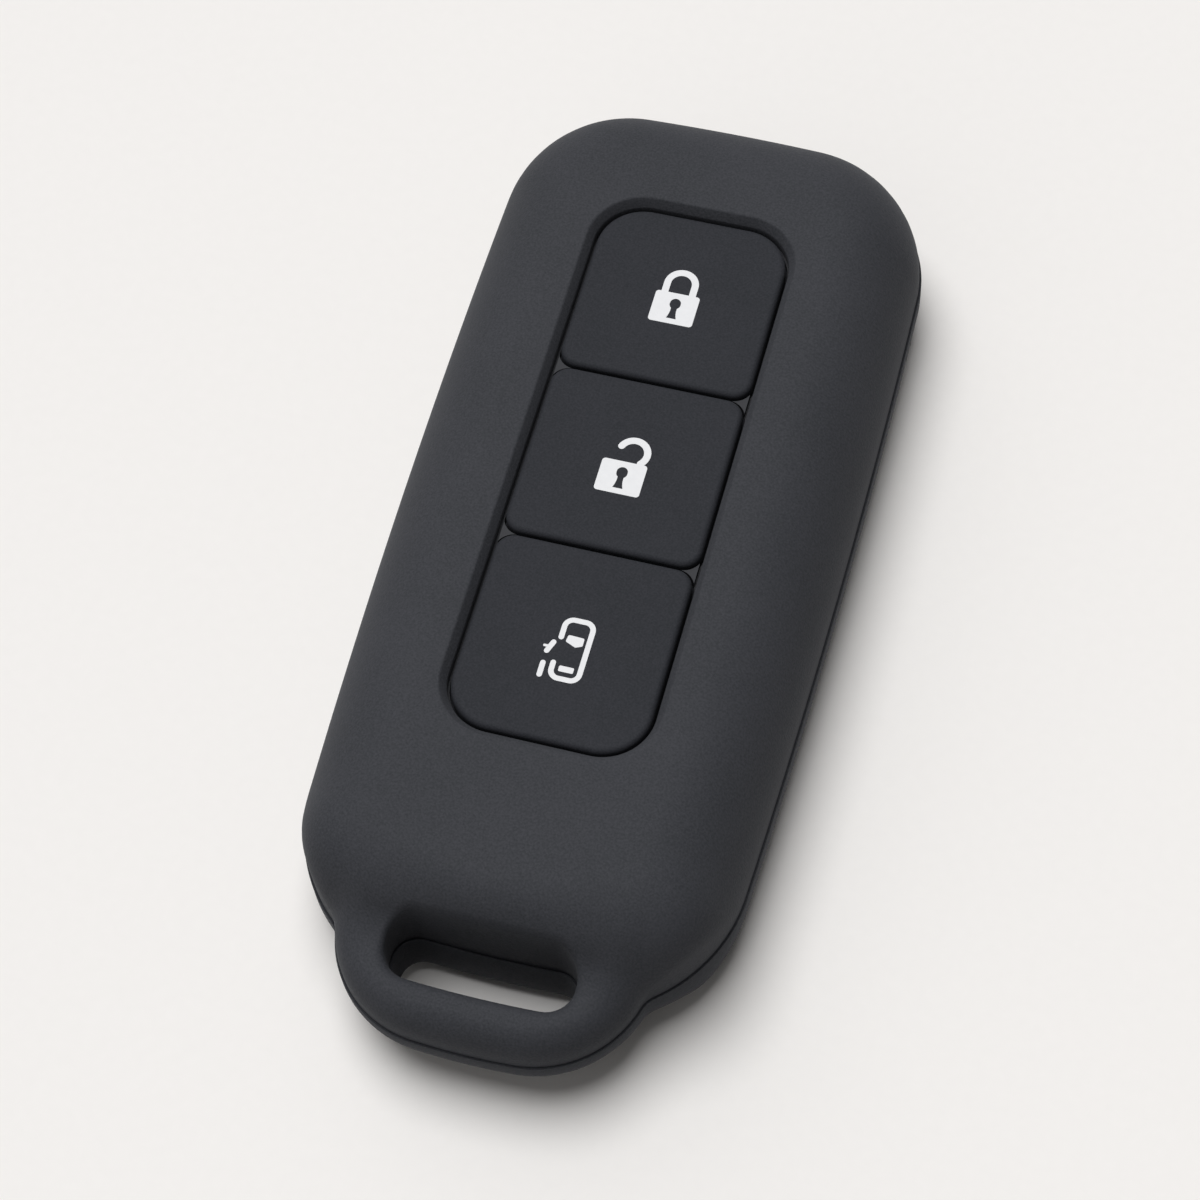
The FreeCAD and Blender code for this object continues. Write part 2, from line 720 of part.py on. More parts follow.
def push_key(key, symbol):
    """A key cap with a flange behind the mat, cut out for its pictogram."""
    body = prism(f"{key}_cap", rounded_rectangle, "key_low", "key_top",
                 *key_plan(key, "0 * key_gap", "0 * key_gap"))
    flange = new_sketch(body, f"{key}_flange", "key_low")
    rounded_rectangle(flange, *key_plan(key, "flange_width", "flange_width"))
    add_pad(body, flange, "flange_thickness")
    round_edges(body, f"{key}_edge", "key_edge_radius", at_height("key_top"))
    return new_cut(f"{key}_key", body, symbol)


def keypad_mat():
    """The mat behind the window, with a close hole for each key and a web that stands up where keys meet."""
    radius = "key_outer_radius + key_gap + mat_border"
    body = prism("keypad_mat", rounded_rectangle, "mat_low", "roof_under", "window_width + 2 * mat_border",
                 "window_low - mat_border", "window_top + mat_border", radius, radius)
    web = new_sketch(body, "mat_web", "roof_under")
    for low, high in (("door_high", "unlock_low"), ("unlock_high", "lock_low")):
        rounded_rectangle(web, "key_width", f"{low} - key_inner_radius", f"{high} + key_inner_radius",
                          "split_gap / 2", "split_gap / 2")
    add_pad(body, web, "web_top - roof_under")
    for key in KEYS:
        hole = new_sketch(body, f"mat_hole_{key}", "web_top")
        width, low, high, low_radius, high_radius = key_plan(key, "mat_clearance", "0 * key_gap")
        rounded_rectangle(hole, width, f"{low} - mat_clearance", f"{high} + mat_clearance",
                          f"{low_radius} + mat_clearance" if key != "door" else low_radius,
                          f"{high_radius} + mat_clearance" if key != "lock" else high_radius)
        add_pocket(body, hole, "web_top - mat_low")
    return body


def circle_at(sketch, x, y, radius):
    item = sketch.addGeometry(Part.Circle(Vector(worth(x), worth(y), 0), Vector(0, 0, 1), worth(radius)))
    dimension(sketch, radius, "Radius", item)
    across(sketch, x, item, CENTRE)
    along(sketch, y, item, CENTRE)


def keypad_frame():
    """A tray that presses the mat to the roof and carries the domes, with holes for the posts and stakes."""
    ends = "frame_margin + frame_end"
    body = prism("keypad_frame", rounded_rectangle, "frame_low", "mat_low",
                 "frame_width", f"window_low - ({ends})", f"window_top + {ends}",
                 "frame_corner_radius", "frame_corner_radius")
    well = new_sketch(body, "frame_well", "mat_low")
    radius = "key_outer_radius + key_gap + frame_margin"
    rounded_rectangle(well, "window_width + 2 * frame_margin", "window_low - frame_margin",
                      "window_top + frame_margin", radius, radius)
    add_pocket(body, well, "mat_low - frame_top")
    holes = new_sketch(body, "frame_holes", "mat_low")
    for key in KEYS:
        circle_at(holes, "0 * wall", f"{key}_middle", "post_radius + post_clearance")
    for place in ("stake_far", "stake_near"):
        for side in (1, -1):
            circle_at(holes, f"{side} * stake_reach", place, "stake_radius + stake_clearance")
    add_pocket(body, holes, "mat_low - frame_low")
    return body


def key_post(key):
    """The post that carries a press from the key to the fob."""
    post = doc.addObject("Part::Cylinder", f"{key}_post")
    bind(post, "Radius", "post_radius")
    bind(post, "Height", "key_low - post_low")
    bind(post, "Placement.Base.y", f"{key}_middle")
    bind(post, "Placement.Base.z", "post_low")
    return post


def return_dome(key):
    """A rubber cone between the frame and the key, open in the middle for the post."""
    inner_top = "post_radius + dome_clearance"
    cones = []
    for layer, growth in (("outside", "dome_wall"), ("inside", "0 * dome_wall")):
        cone = doc.addObject("Part::Cone", f"{key}_dome_{layer}")
        bind(cone, "Radius1", f"{inner_top} + dome_flare + {growth}")
        bind(cone, "Radius2", f"{inner_top} + {growth}")
        bind(cone, "Height", "key_low - frame_top")
        bind(cone, "Placement.Base.y", f"{key}_middle")
        bind(cone, "Placement.Base.z", "frame_top")
        cones.append(cone)
    return new_cut(f"{key}_dome", *cones)


def stroke(edges, width):
    """A flat face along a bent line, with round ends."""
    return Part.Face(Part.Wire(edges).makeOffset2D(width / 2))


def segment(start, end):
    return line_of(start, end).toShape()


def arc_edge(centre, radius, start_angle, end_angle):
    return arc_of(centre, radius, math.radians(start_angle), math.radians(end_angle)).toShape()


def bar(start, end, width):
    """A straight stroke with round ends."""
    length, radius = math.dist(start, end), width / 2
    edges = [segment((0, -radius), (length, -radius)), arc_edge((length, 0), radius, -90, 90),
             segment((length, radius), (0, radius)), arc_edge((0, 0), radius, 90, 270)]
    face = Part.Face(Part.Wire(edges))
    turn = Rotation(Vector(0, 0, 1), math.degrees(bearing(start, end)))
    face.Placement = Placement(Vector(*start, 0), turn)
    return face


def box_face(width, height, radius, middle_x, low_y):
    """A flat rectangle with round corners, as a stroke round a smaller one."""
    left, right = middle_x - width / 2 + radius, middle_x + width / 2 - radius
    low, high = low_y + radius, low_y + height - radius
    corners = [(left, low), (right, low), (right, high), (left, high)]
    wire = Part.makePolygon([Vector(x, y, 0) for x, y in corners + corners[:1]])
    return Part.Face(wire.makeOffset2D(radius))


def keyhole(foot_y):
    """A round hole over a waisted foot."""
    radius, rise = worth("keyhole_radius"), worth("keyhole_rise")
    neck, foot, low = worth("keyhole_neck / 2"), worth("keyhole_foot / 2"), worth("keyhole_low")
    eye_y = foot_y + rise
    low_y = foot_y + low
    waist_y = (eye_y + low_y) / 2
    flare = (2 * neck + foot) / 3
    sides = [Part.Arc(Vector(side * foot, low_y, 0), Vector(side * flare, (waist_y + low_y) / 2, 0),
                      Vector(side * neck, waist_y, 0)).toShape() for side in (1, -1)]
    ends = [segment((-foot, low_y), (foot, low_y)), segment((neck, waist_y), (neck, eye_y)),
            segment((neck, eye_y), (-neck, eye_y)), segment((-neck, eye_y), (-neck, waist_y))]
    leg = Part.Face(Part.Wire(Part.__sortEdges__(sides + ends)))
    return leg.fuse(bar((0, eye_y - radius / 8), (0, eye_y + radius / 8), 2 * radius))


def padlock(is_open):
    """A padlock pictogram about its own middle, with its shackle shut or swung open."""
    width, height = worth("padlock_width"), worth("padlock_height")
    radius, line, rise = worth("shackle_radius"), worth("shackle_stroke"), worth("shackle_rise")
    low = -(height + rise + radius + line / 2) / 2
    top = low + height
    case = box_face(width, height, worth("padlock_corner_radius"), 0, low).cut(keyhole(low))
    if is_open:
        centre = (worth("open_shift"), top + rise)
        shackle = stroke([arc_edge(centre, radius, -45, 157)], line)
    else:
        bow = arc_edge((0, top + rise), radius, 0, 180)
        legs = [segment((side * radius, top - line / 2), (side * radius, top + rise)) for side in (1, -1)]
        shackle = stroke(Part.__sortEdges__([legs[0], bow, legs[1]]), line)
    return [case, shackle]


def sliding_door():
    """A car seen from above with its side door slid back: open outline, screen, seat, panel and arrow."""
    line, radius = worth("car_stroke"), worth("car_corner_radius")
    right = worth("car_width / 2 + car_shift")
    left = worth("car_shift - car_width / 2")
    high, low = worth("car_length / 2"), worth("-car_length / 2")
    gap_low = low + worth("doorway_low")
    gap_high = gap_low + worth("doorway_length")
    outline = [
        segment((left, gap_high), (left, high - radius)),
        arc_edge((left + radius, high - radius), radius, 90, 180),
        segment((left + radius, high), (right - radius, high)),
        arc_edge((right - radius, high - radius), radius, 0, 90),
        segment((right, high - radius), (right, low + radius)),
        arc_edge((right - radius, low + radius), radius, 270, 360),
        segment((right - radius, low), (left + radius, low)),
        arc_edge((left + radius, low + radius), radius, 180, 270),
        segment((left, low + radius), (left, gap_low)),
    ]
    middle = (left + right) / 2
    screen_shares = [(-0.5, 0.45), (0.15, 0), (0.5, 0.25), (0.5, 0.95), (-0.45, 1)]
    screen_low = low + worth("screen_low")
    width, depth = worth("screen_width"), worth("screen_depth")
    corners = [Vector(middle + across_share * width, screen_low + rise_share * depth, 0)
               for across_share, rise_share in screen_shares]
    screen = Part.Face(Part.makePolygon(corners + corners[:1]).makeOffset2D(worth("screen_round")))
    seat_low = low + worth("seat_rise - seat_width / 2")
    seat = box_face(worth("seat_length"), worth("seat_width"), line / 4, middle, seat_low)
    panel_x = left - worth("panel_gap")
    panel = bar((panel_x, low), (panel_x, low + worth("panel_length")), line)
    arrow_low = (panel_x, low + worth("arrow_rise"))
    arrow_high = (left - worth("arrow_gap"), arrow_low[1] + worth("arrow_length"))
    shaft = bar(arrow_low, arrow_high, line)
    waist = ((arrow_low[0] + arrow_high[0]) / 2, (arrow_low[1] + arrow_high[1]) / 2)
    barb = bar(waist, (waist[0] - worth("arrow_gap"), waist[1]), line / 2)
    return [stroke(outline, line), screen, seat, panel, shaft, barb]


def inlay(key, faces):
    """The pictogram of a key as thin solids that end level with the key's top."""
    depth = Vector(0, 0, worth("inlay_depth"))
    symbol = doc.addObject("Part::Feature", f"{key}_symbol")
    solids = [face.extrude(depth) for face in faces]
    symbol.Shape = solids[0].multiFuse(solids[1:]).removeSplitter()
    symbol.Placement = Placement(Vector(0, worth(f"{key}_mark"), worth("inlay_low")), Rotation())
    return symbol


hollow = fob_hollow()
nodes = [front_shell(hollow), rear_shell(hollow), keypad_mat(), keypad_frame()]
pictograms = {"lock": padlock(False), "unlock": padlock(True), "door": sliding_door()}
for key in KEYS:
    symbol = inlay(key, pictograms[key])
    nodes += [push_key(key, symbol), symbol, key_post(key), return_dome(key)]
doc.recompute()

for thing in doc.Objects:
    if "Invalid" in thing.State or "Error" in thing.State:
        raise RuntimeError(f"{thing.Name} failed: {thing.State}")
for node in nodes:
    if node.Shape.isNull() or not node.Shape.isValid():
        raise RuntimeError(f"{node.Label} has no sound shape")

os.makedirs("parts", exist_ok=True)
for node in nodes:
    node.Shape.exportStep(f"parts/{node.Label}.step")
    print(node.Label, len(node.Shape.Solids), round(node.Shape.Volume, 2))
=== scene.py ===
# %% [markdown]
# # A key fob cover, dressed for its picture
# The cover is two moulded shells with a soft-touch coat, three push keys in one bevelled window and a strap
# loop. The imported CAD model comes first, because every piece made below sits in its frame and moves with its
# bodies. Its box is kept.

# %% Load the frame
import math

import bmesh
import bpy
import numpy as np
from mathutils import Matrix, Vector, geometry


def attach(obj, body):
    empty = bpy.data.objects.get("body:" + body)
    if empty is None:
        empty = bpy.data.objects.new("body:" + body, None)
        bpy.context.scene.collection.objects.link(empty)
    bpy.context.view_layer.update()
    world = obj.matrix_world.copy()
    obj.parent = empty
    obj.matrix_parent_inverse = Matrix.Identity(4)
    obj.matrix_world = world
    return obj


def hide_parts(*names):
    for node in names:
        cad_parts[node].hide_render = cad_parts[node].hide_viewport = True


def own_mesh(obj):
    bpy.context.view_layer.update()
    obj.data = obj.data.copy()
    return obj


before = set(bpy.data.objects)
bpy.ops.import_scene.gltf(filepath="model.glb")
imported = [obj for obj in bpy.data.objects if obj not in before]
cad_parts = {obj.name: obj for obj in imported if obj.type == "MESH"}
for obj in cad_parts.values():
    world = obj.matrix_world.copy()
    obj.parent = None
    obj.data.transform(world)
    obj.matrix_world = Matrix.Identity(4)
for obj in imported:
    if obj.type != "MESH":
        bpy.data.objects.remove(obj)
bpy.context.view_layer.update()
MM = 0.001
print("CAD nodes:", sorted(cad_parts))

# %% [markdown]
# ## Camera
# The picture was taken from above the loop end, a little to the right, with a long lens.
# A camera can be aimed with a Track To constraint, but that leaves its roll to chance.
# Here the three axes of the camera are written out, so place, aim and roll are all fixed.

# %% Camera
CAMERA_PLACE = Vector((46.69, -123.55, 245.54)) * MM
CAMERA_RIGHT = Vector((0.9621, 0.2671, -0.0544))
CAMERA_DOWN = Vector((0.2105, -0.8551, -0.4738))
LENS_MM, SENSOR_MM = 91.3, 36.0
NEAREST, FARTHEST = 0.01, 20.0

camera_data = bpy.data.cameras.new("camera")
camera_data.lens, camera_data.sensor_width = LENS_MM, SENSOR_MM
camera_data.clip_start, camera_data.clip_end = NEAREST, FARTHEST
camera = bpy.data.objects.new("camera", camera_data)
right = CAMERA_RIGHT.normalized()
back = right.cross(-CAMERA_DOWN).normalized()
up = back.cross(right)
camera.matrix_world = Matrix.Translation(CAMERA_PLACE) @ Matrix((right, up, back)).transposed().to_4x4()
bpy.context.collection.objects.link(camera)
bpy.context.scene.camera = camera
print("camera looks along", [round(-c, 3) for c in back])

# %% [markdown]
# ## Helpers for finishes
# Colours are picked as sRGB hex values, as a paint chart gives them, but shaders work in linear light. One
# function turns the first into the second. Another adds any node with its settings and links in one call: its
# inputs come as a list in order or as a dictionary by name or place, and a node among them is linked.

# %% Colour and node helpers
MATH, MIX, NOISE = "ShaderNodeMath", "ShaderNodeMix", "ShaderNodeTexNoise"
VECTOR, RANGE, SURFACE = "ShaderNodeVectorMath", "ShaderNodeMapRange", "ShaderNodeBsdfPrincipled"


def linear(hex_colour):
    """An sRGB hex colour as linear red, green, blue and alpha."""
    shares = [int(hex_colour[at:at + 2], 16) / 255 for at in (1, 3, 5)]
    return [s / 12.92 if s <= 0.04045 else ((s + 0.055) / 1.055) ** 2.4 for s in shares] + [1.0]


def result(node):
    """The first output that a node uses with its settings."""
    return next(socket for socket in node.outputs if socket.enabled)


def add_node(tree, kind, inputs=(), **settings):
    """Adds a node, sets its properties, and sets or links its inputs, in order or by name or place."""
    node = tree.nodes.new(kind)
    for name, value in settings.items():
        setattr(node, name, value)
    named = {socket.name: socket for socket in reversed(node.inputs) if socket.enabled}
    for name, value in inputs.items() if isinstance(inputs, dict) else enumerate(inputs):
        socket = named[name] if isinstance(name, str) else node.inputs[name]
        source = result(value) if isinstance(value, bpy.types.Node) else value
        if isinstance(source, bpy.types.NodeSocket):
            tree.links.new(source, socket)
        else:
            socket.default_value = source
    return node


def new_material(name):
    """An empty node material, ready for a shader."""
    material = bpy.data.materials.new(name)
    material.use_nodes = True
    material.node_tree.nodes.clear()
    return material, material.node_tree


def per_metre(size_mm):
    """The scale of a texture whose features are that many millimetres across."""
    return 1 / (size_mm * MM)


print("helpers ready; mid grey is", [round(c, 3) for c in linear("#808080")])

# %% [markdown]
# ## Floor
# The cover lies on a warm white sheet of paper. One large plane is enough, because no edge of it comes into
# the picture. The sheet is white to the eye and in reflections, but throws less light back, so that the
# undersides of the cover stay dark. Light Path tells those rays apart.

# %% Paper sheet
FLOOR_SIZE, FIBRE_MM = 3.0, 1.2


def looked_at(tree):
    """A node that gives 1 to rays of the eye, of reflections and through glass, and 0 to rays of light."""
    ray = add_node(tree, "ShaderNodeLightPath").outputs
    mirrored = add_node(tree, MATH, [ray["Is Glossy Ray"], ray["Is Transmission Ray"]], operation="MAXIMUM")
    return add_node(tree, MATH, [ray["Is Camera Ray"], mirrored], operation="MAXIMUM")


# Pressed paper scatters light evenly, which gives the eye a soft warm white with the faintest clouding.
paper, tree = new_material("matt_white_paper")
place = add_node(tree, "ShaderNodeTexCoord").outputs["Object"]
fibres = add_node(tree, NOISE, {"Vector": place, "Scale": per_metre(FIBRE_MM), "Detail": 4.0})
white = add_node(tree, MIX, {"Factor": fibres, "A": linear("#F4F2F0"), "B": linear("#F1EFED")},
                 data_type="RGBA")
tone = add_node(tree, MIX, {"Factor": looked_at(tree), "A": linear("#BCBAB8"), "B": white}, data_type="RGBA")
sheet = add_node(tree, SURFACE, {"Base Color": tone, "Roughness": 0.9, "Specular IOR Level": 0.1})
add_node(tree, "ShaderNodeOutputMaterial", {"Surface": sheet})

half = FLOOR_SIZE / 2
corners = [(-half, -half, 0), (half, -half, 0), (half, half, 0), (-half, half, 0)]
floor_mesh = bpy.data.meshes.new("floor")
floor_mesh.from_pydata(corners, [], [(0, 1, 2, 3)])
floor_mesh.materials.append(paper)
floor = bpy.data.objects.new("floor", floor_mesh)
bpy.context.collection.objects.link(floor)
print("paper sheet:", FLOOR_SIZE, "m square")

# %% [markdown]
# ## Light
# One broad soft light hangs at the upper left, in a dim room with a soft box behind the cover and a small
# card at its front left. Area lamps would do, but their strength falls off across the sheet. A sun lamp
# with a wide angle gives the same soft-edged shadow on an even sheet. The world is the room: like the
# sheet, it is pale to the eye and in reflections, and dim where it lights the cover.

# %% Sun
SUN_ANGLE_DEG, SUN_STRENGTH = 42.0, 2.45
SUN_FROM = Vector((-0.2, 0.18, 1.0))

sun_data = bpy.data.lights.new("soft_key_light", "SUN")
sun_data.energy, sun_data.angle = SUN_STRENGTH, math.radians(SUN_ANGLE_DEG)
sun = bpy.data.objects.new("soft_key_light", sun_data)
sun.matrix_world = SUN_FROM.to_track_quat("Z", "Y").to_matrix().to_4x4()
bpy.context.collection.objects.link(sun)
bpy.context.scene.view_settings.view_transform = "Standard"
print("sun of strength", SUN_STRENGTH, "and", SUN_ANGLE_DEG, "degrees across")

# %% Room with soft boxes
ROOM_STRENGTH, BACKDROP_STRENGTH = 0.09, 1.0
# A soft box has its direction, the cosine of the angle at which it fades out, and the strength of its middle.
SOFT_BOXES = (((-0.45, 0.62, 0.66), 0.75, 0.85), ((-0.5, -0.8, 0.33), 0.55, 0.4))

world = bpy.data.worlds.new("pale_room")
world.use_nodes = True
tree = world.node_tree
toward = add_node(tree, "ShaderNodeTexCoord").outputs["Generated"]
level = ROOM_STRENGTH
for direction, edge, strength in SOFT_BOXES:
    facing = add_node(tree, VECTOR, [toward, Vector(direction).normalized()], operation="DOT_PRODUCT")
    patch = add_node(tree, RANGE, {"Value": facing, "From Min": edge, "From Max": 1.0, "To Max": strength},
                     interpolation_type="SMOOTHSTEP")
    level = add_node(tree, MATH, [patch, level], operation="ADD")
shown = add_node(tree, MIX, {"Factor": looked_at(tree), "A": level, "B": BACKDROP_STRENGTH})
room = tree.nodes["Background"]
room.inputs["Color"].default_value = linear("#F2F0EE")
tree.links.new(result(shown), room.inputs["Strength"])
bpy.context.scene.world = world
print("room of strength", ROOM_STRENGTH, "with", len(SOFT_BOXES), "soft boxes")

# %% [markdown]
# ## Coated and bare plastic
# The shells are moulded ABS with a sprayed soft-touch coat: nearly black, a little blue, very matt, with a
# faint bloom at grazing angles and a fine pebble that breaks up the light. A broad noise shifts the tone by
# a hair, as thick and thin spray does, and a fine one gives it speckle. Sprayed pebble can be finer than
# the fifth of a millimetre used here, which is as coarse as it needs to be to show in the picture.

# %% Coated and bare plastic
MOTTLE_MM = 9.0
SPECKLE_SHARE = 0.7
TONE_FROM, TONE_TO = 0.3, 0.7
ROUGHNESS_SWING = 0.03


def coated_plastic(name, dark, pale, roughness, grain_mm, grain_depth_mm, specular, sheen):
    """A dark moulded plastic with a pebbled matt surface."""
    material, tree = new_material(name)
    place = add_node(tree, "ShaderNodeTexCoord").outputs["Object"]
    mottle = add_node(tree, NOISE, {"Vector": place, "Scale": per_metre(MOTTLE_MM), "Detail": 3.0})
    speckle = add_node(tree, NOISE, {"Vector": place, "Scale": per_metre(grain_mm), "Detail": 1.0})
    blend = add_node(tree, MIX, {"Factor": SPECKLE_SHARE, "A": mottle, "B": speckle})
    spread = add_node(tree, RANGE, {"Value": blend, "From Min": TONE_FROM, "From Max": TONE_TO})
    tone = add_node(tree, MIX, {"Factor": spread, "A": linear(dark), "B": linear(pale)}, data_type="RGBA")
    shine = add_node(tree, RANGE, {"Value": mottle, "To Min": roughness - ROUGHNESS_SWING,
                                   "To Max": roughness + ROUGHNESS_SWING})
    pebble = add_node(tree, NOISE, {"Vector": place, "Scale": per_metre(grain_mm), "Detail": 2.0,
                                    "Roughness": 0.55})
    bump = add_node(tree, "ShaderNodeBump", {"Height": pebble, "Strength": 1.0,
                                             "Distance": grain_depth_mm * MM})
    surface = add_node(tree, SURFACE, {
        "Base Color": tone, "Roughness": shine, "Normal": bump, "IOR": 1.46, "Specular IOR Level": specular,
        "Sheen Weight": sheen, "Sheen Roughness": 0.45, "Sheen Tint": linear("#DDE3EA")})
    add_node(tree, "ShaderNodeOutputMaterial", {"Surface": surface})
    return material


# The sprayed coat looks dry and velvety: light fades slowly over its curves, with no sharp highlight.
soft_touch = coated_plastic("soft_touch_coat_on_abs", "#303236", "#3E3F44", roughness=0.7, grain_mm=0.2,
                            grain_depth_mm=0.04, specular=0.16, sheen=0.03)
# The keys come from a finely etched mould, so they look flatter and darker than the shell round them.
key_plastic = coated_plastic("fine_matt_abs_keys", "#2A2C30", "#35363B", roughness=0.65, grain_mm=0.18,
                             grain_depth_mm=0.025, specular=0.08, sheen=0.01)
# The frame and the posts are plain mouldings: a smoother black with a broad satin shine.
inner_plastic = coated_plastic("bare_moulded_abs", "#242528", "#292A2D", roughness=0.42, grain_mm=0.5,
                               grain_depth_mm=0.004, specular=0.45, sheen=0.0)
print("made", soft_touch.name, key_plastic.name, inner_plastic.name)

# %% [markdown]
# ## Rubber and white inlay
# The mat and its web are black silicone rubber, moulded matt. The return domes are grey silicone, a little
# waxy, so some light goes in under the surface. The pictograms are white ABS shot into the keys: matt, with
# a trace of grey. Paint on the key tops would look alike, but has no thickness of its own.

# %% Rubber
CLOUD_MM, CLOUD_DEPTH_MM, SCATTER_MM = 2.0, 0.004, 0.4


def silicone(name, dark, pale, subsurface):
    """Moulded silicone rubber: smooth, dull, and slightly translucent where it is pale."""
    material, tree = new_material(name)
    place = add_node(tree, "ShaderNodeTexCoord").outputs["Object"]
    cloud = add_node(tree, NOISE, {"Vector": place, "Scale": per_metre(CLOUD_MM), "Detail": 3.0})
    tone = add_node(tree, MIX, {"Factor": cloud, "A": linear(dark), "B": linear(pale)}, data_type="RGBA")
    bump = add_node(tree, "ShaderNodeBump", {"Height": cloud, "Distance": CLOUD_DEPTH_MM * MM})
    surface = add_node(tree, SURFACE, {
        "Base Color": tone, "Normal": bump, "Roughness": 0.62, "IOR": 1.41, "Specular IOR Level": 0.3,
        "Subsurface Weight": subsurface, "Subsurface Scale": SCATTER_MM * MM})
    add_node(tree, "ShaderNodeOutputMaterial", {"Surface": surface})
    return material


# Black rubber takes up most light, so the web reads as a dark line between the keys.
mat_rubber = silicone("black_silicone_mat", "#2D2E32", "#323337", subsurface=0.0)
# Pale rubber lets a little light through its thin edges, which softens them.
dome_rubber = silicone("grey_silicone_dome", "#7E8084", "#898B8F", subsurface=0.15)
print("made", mat_rubber.name, dome_rubber.name)

# %% White inlay
INLAY_CLOUD_MM = 0.7

# White plastic next to black looks brighter than it is, so its tone stays short of pure white.
white_inlay, tree = new_material("white_abs_inlay")
place = add_node(tree, "ShaderNodeTexCoord").outputs["Object"]
cloud = add_node(tree, NOISE, {"Vector": place, "Scale": per_metre(INLAY_CLOUD_MM), "Detail": 2.0})
tone = add_node(tree, MIX, {"Factor": cloud, "A": linear("#E4E5E8"), "B": linear("#EDEEF0")},
                data_type="RGBA")
surface = add_node(tree, SURFACE, {"Base Color": tone, "Roughness": 0.6, "Specular IOR Level": 0.25})
add_node(tree, "ShaderNodeOutputMaterial", {"Surface": surface})
print("made", white_inlay.name)

# %% [markdown]
# ## Plan of the cover
# Seen from above, each shell is a chain of arcs that run into each other: a slightly bowed nose, round loop
# corners, hollow necks, shoulders, long barrel sides, round top corners and a slightly bowed top. A Bezier
# drawn by hand would need many handles. Arcs need only radii, and the points where they meet follow from
# those. Half of a plan is worked out, and the other half is its mirror image.

# %% Arcs and lines
STEP = 0.45


def bearing(centre, point):
    return math.atan2(point[1] - centre[1], point[0] - centre[0])


def meeting(first, first_reach, second, second_reach):
    """Both points at the given reaches from two centres."""
    gap = math.dist(first, second)
    run = (first_reach ** 2 - second_reach ** 2 + gap ** 2) / (2 * gap)
    rise = math.sqrt(first_reach ** 2 - run ** 2)
    way_x, way_y = (second[0] - first[0]) / gap, (second[1] - first[1]) / gap
    foot = (first[0] + run * way_x, first[1] + run * way_y)
    return [(foot[0] - side * rise * way_y, foot[1] + side * rise * way_x) for side in (1, -1)]


def arc_points(centre, radius, start, end, outward=1):
    """Points along an arc, and the directions that point out of the plan."""
    count = max(2, math.ceil(abs(end - start) * radius / STEP))
    turns = np.linspace(start, end, count + 1)
    spokes = np.stack([np.cos(turns), np.sin(turns)], 1)
    return np.array(centre) + radius * spokes, outward * spokes


def line_points(start, end, outward):
    """Points along a straight line, and the direction out of the plan at each."""
    count = max(1, math.ceil(math.dist(start, end) / STEP))
    shares = np.linspace(0, 1, count + 1)[:, None]
    return np.array(start) * (1 - shares) + np.array(end) * shares, np.tile(outward, (count + 1, 1))


def closed_loop(pieces):
    """Chains the right-hand pieces from the low end to the high end, and adds their mirror image."""
    points = np.concatenate([pieces[0][0]] + [piece[0][1:] for piece in pieces[1:]])
    outward = np.concatenate([pieces[0][1]] + [piece[1][1:] for piece in pieces[1:]])
    flip = np.array([-1, 1])
    mirrored = points[-2:0:-1] * flip
    mirrored_outward = outward[-2:0:-1] * flip
    return np.concatenate([points, mirrored]), np.concatenate([outward, mirrored_outward])


print("points along a plan lie at most", STEP, "mm apart")

# %% Outline of the shells
TOP_END, NOSE_END = 46.95, -46.95
HALF_WIDTH, SIDE_RADIUS, CROWN = 20.35, 900.0, 13.75
TOP_RADIUS, CORNER_RADIUS = 220.0, 12.2
SHOULDER_RADIUS, SHOULDER = 14.5, -26.95
NECK_RADIUS, LOOP_HALF, LOOP_CORNER, NOSE_RADIUS = 2.6, 13.7, 10.0, 62.0
SOUTH, NORTH = -math.pi / 2, math.pi / 2

top_centre = (0.0, TOP_END - TOP_RADIUS)
side_centre = (HALF_WIDTH - SIDE_RADIUS, CROWN)
corner_centre = max(meeting(top_centre, TOP_RADIUS - CORNER_RADIUS, side_centre, SIDE_RADIUS - CORNER_RADIUS),
                    key=lambda point: point[1])
side_to_corner = bearing(side_centre, corner_centre)
corner_to_top = bearing(top_centre, corner_centre)


def shell_plan():
    shoulder_reach = math.sqrt((SIDE_RADIUS - SHOULDER_RADIUS) ** 2 - (SHOULDER - CROWN) ** 2)
    shoulder = (side_centre[0] + shoulder_reach, SHOULDER)
    nose = (0.0, NOSE_END + NOSE_RADIUS)
    tip_x = LOOP_HALF - LOOP_CORNER
    tip = (tip_x, nose[1] - math.sqrt((NOSE_RADIUS - LOOP_CORNER) ** 2 - tip_x ** 2))
    neck = max(meeting(shoulder, SHOULDER_RADIUS + NECK_RADIUS, tip, LOOP_CORNER + NECK_RADIUS))
    neck_start, neck_end = bearing(neck, tip) % math.tau, bearing(neck, shoulder)
    shoulder_to_side = bearing(side_centre, shoulder)
    return closed_loop([
        arc_points(nose, NOSE_RADIUS, SOUTH, bearing(nose, tip)),
        arc_points(tip, LOOP_CORNER, bearing(nose, tip), bearing(tip, neck)),
        arc_points(neck, NECK_RADIUS, neck_start, neck_end, outward=-1),
        arc_points(shoulder, SHOULDER_RADIUS, bearing(shoulder, neck), shoulder_to_side),
        arc_points(side_centre, SIDE_RADIUS, shoulder_to_side, side_to_corner),
        arc_points(corner_centre, CORNER_RADIUS, side_to_corner, corner_to_top),
        arc_points(top_centre, TOP_RADIUS, corner_to_top, NORTH)])


outline, outline_out = shell_plan()
print("outline:", len(outline), "points,", np.ptp(outline, axis=0).round(2), "mm")

# %% Plans of the hollow, the window and the slot
WALL, HOLLOW_END, HOLLOW_CORNER = 1.8, -32.55, 8.0


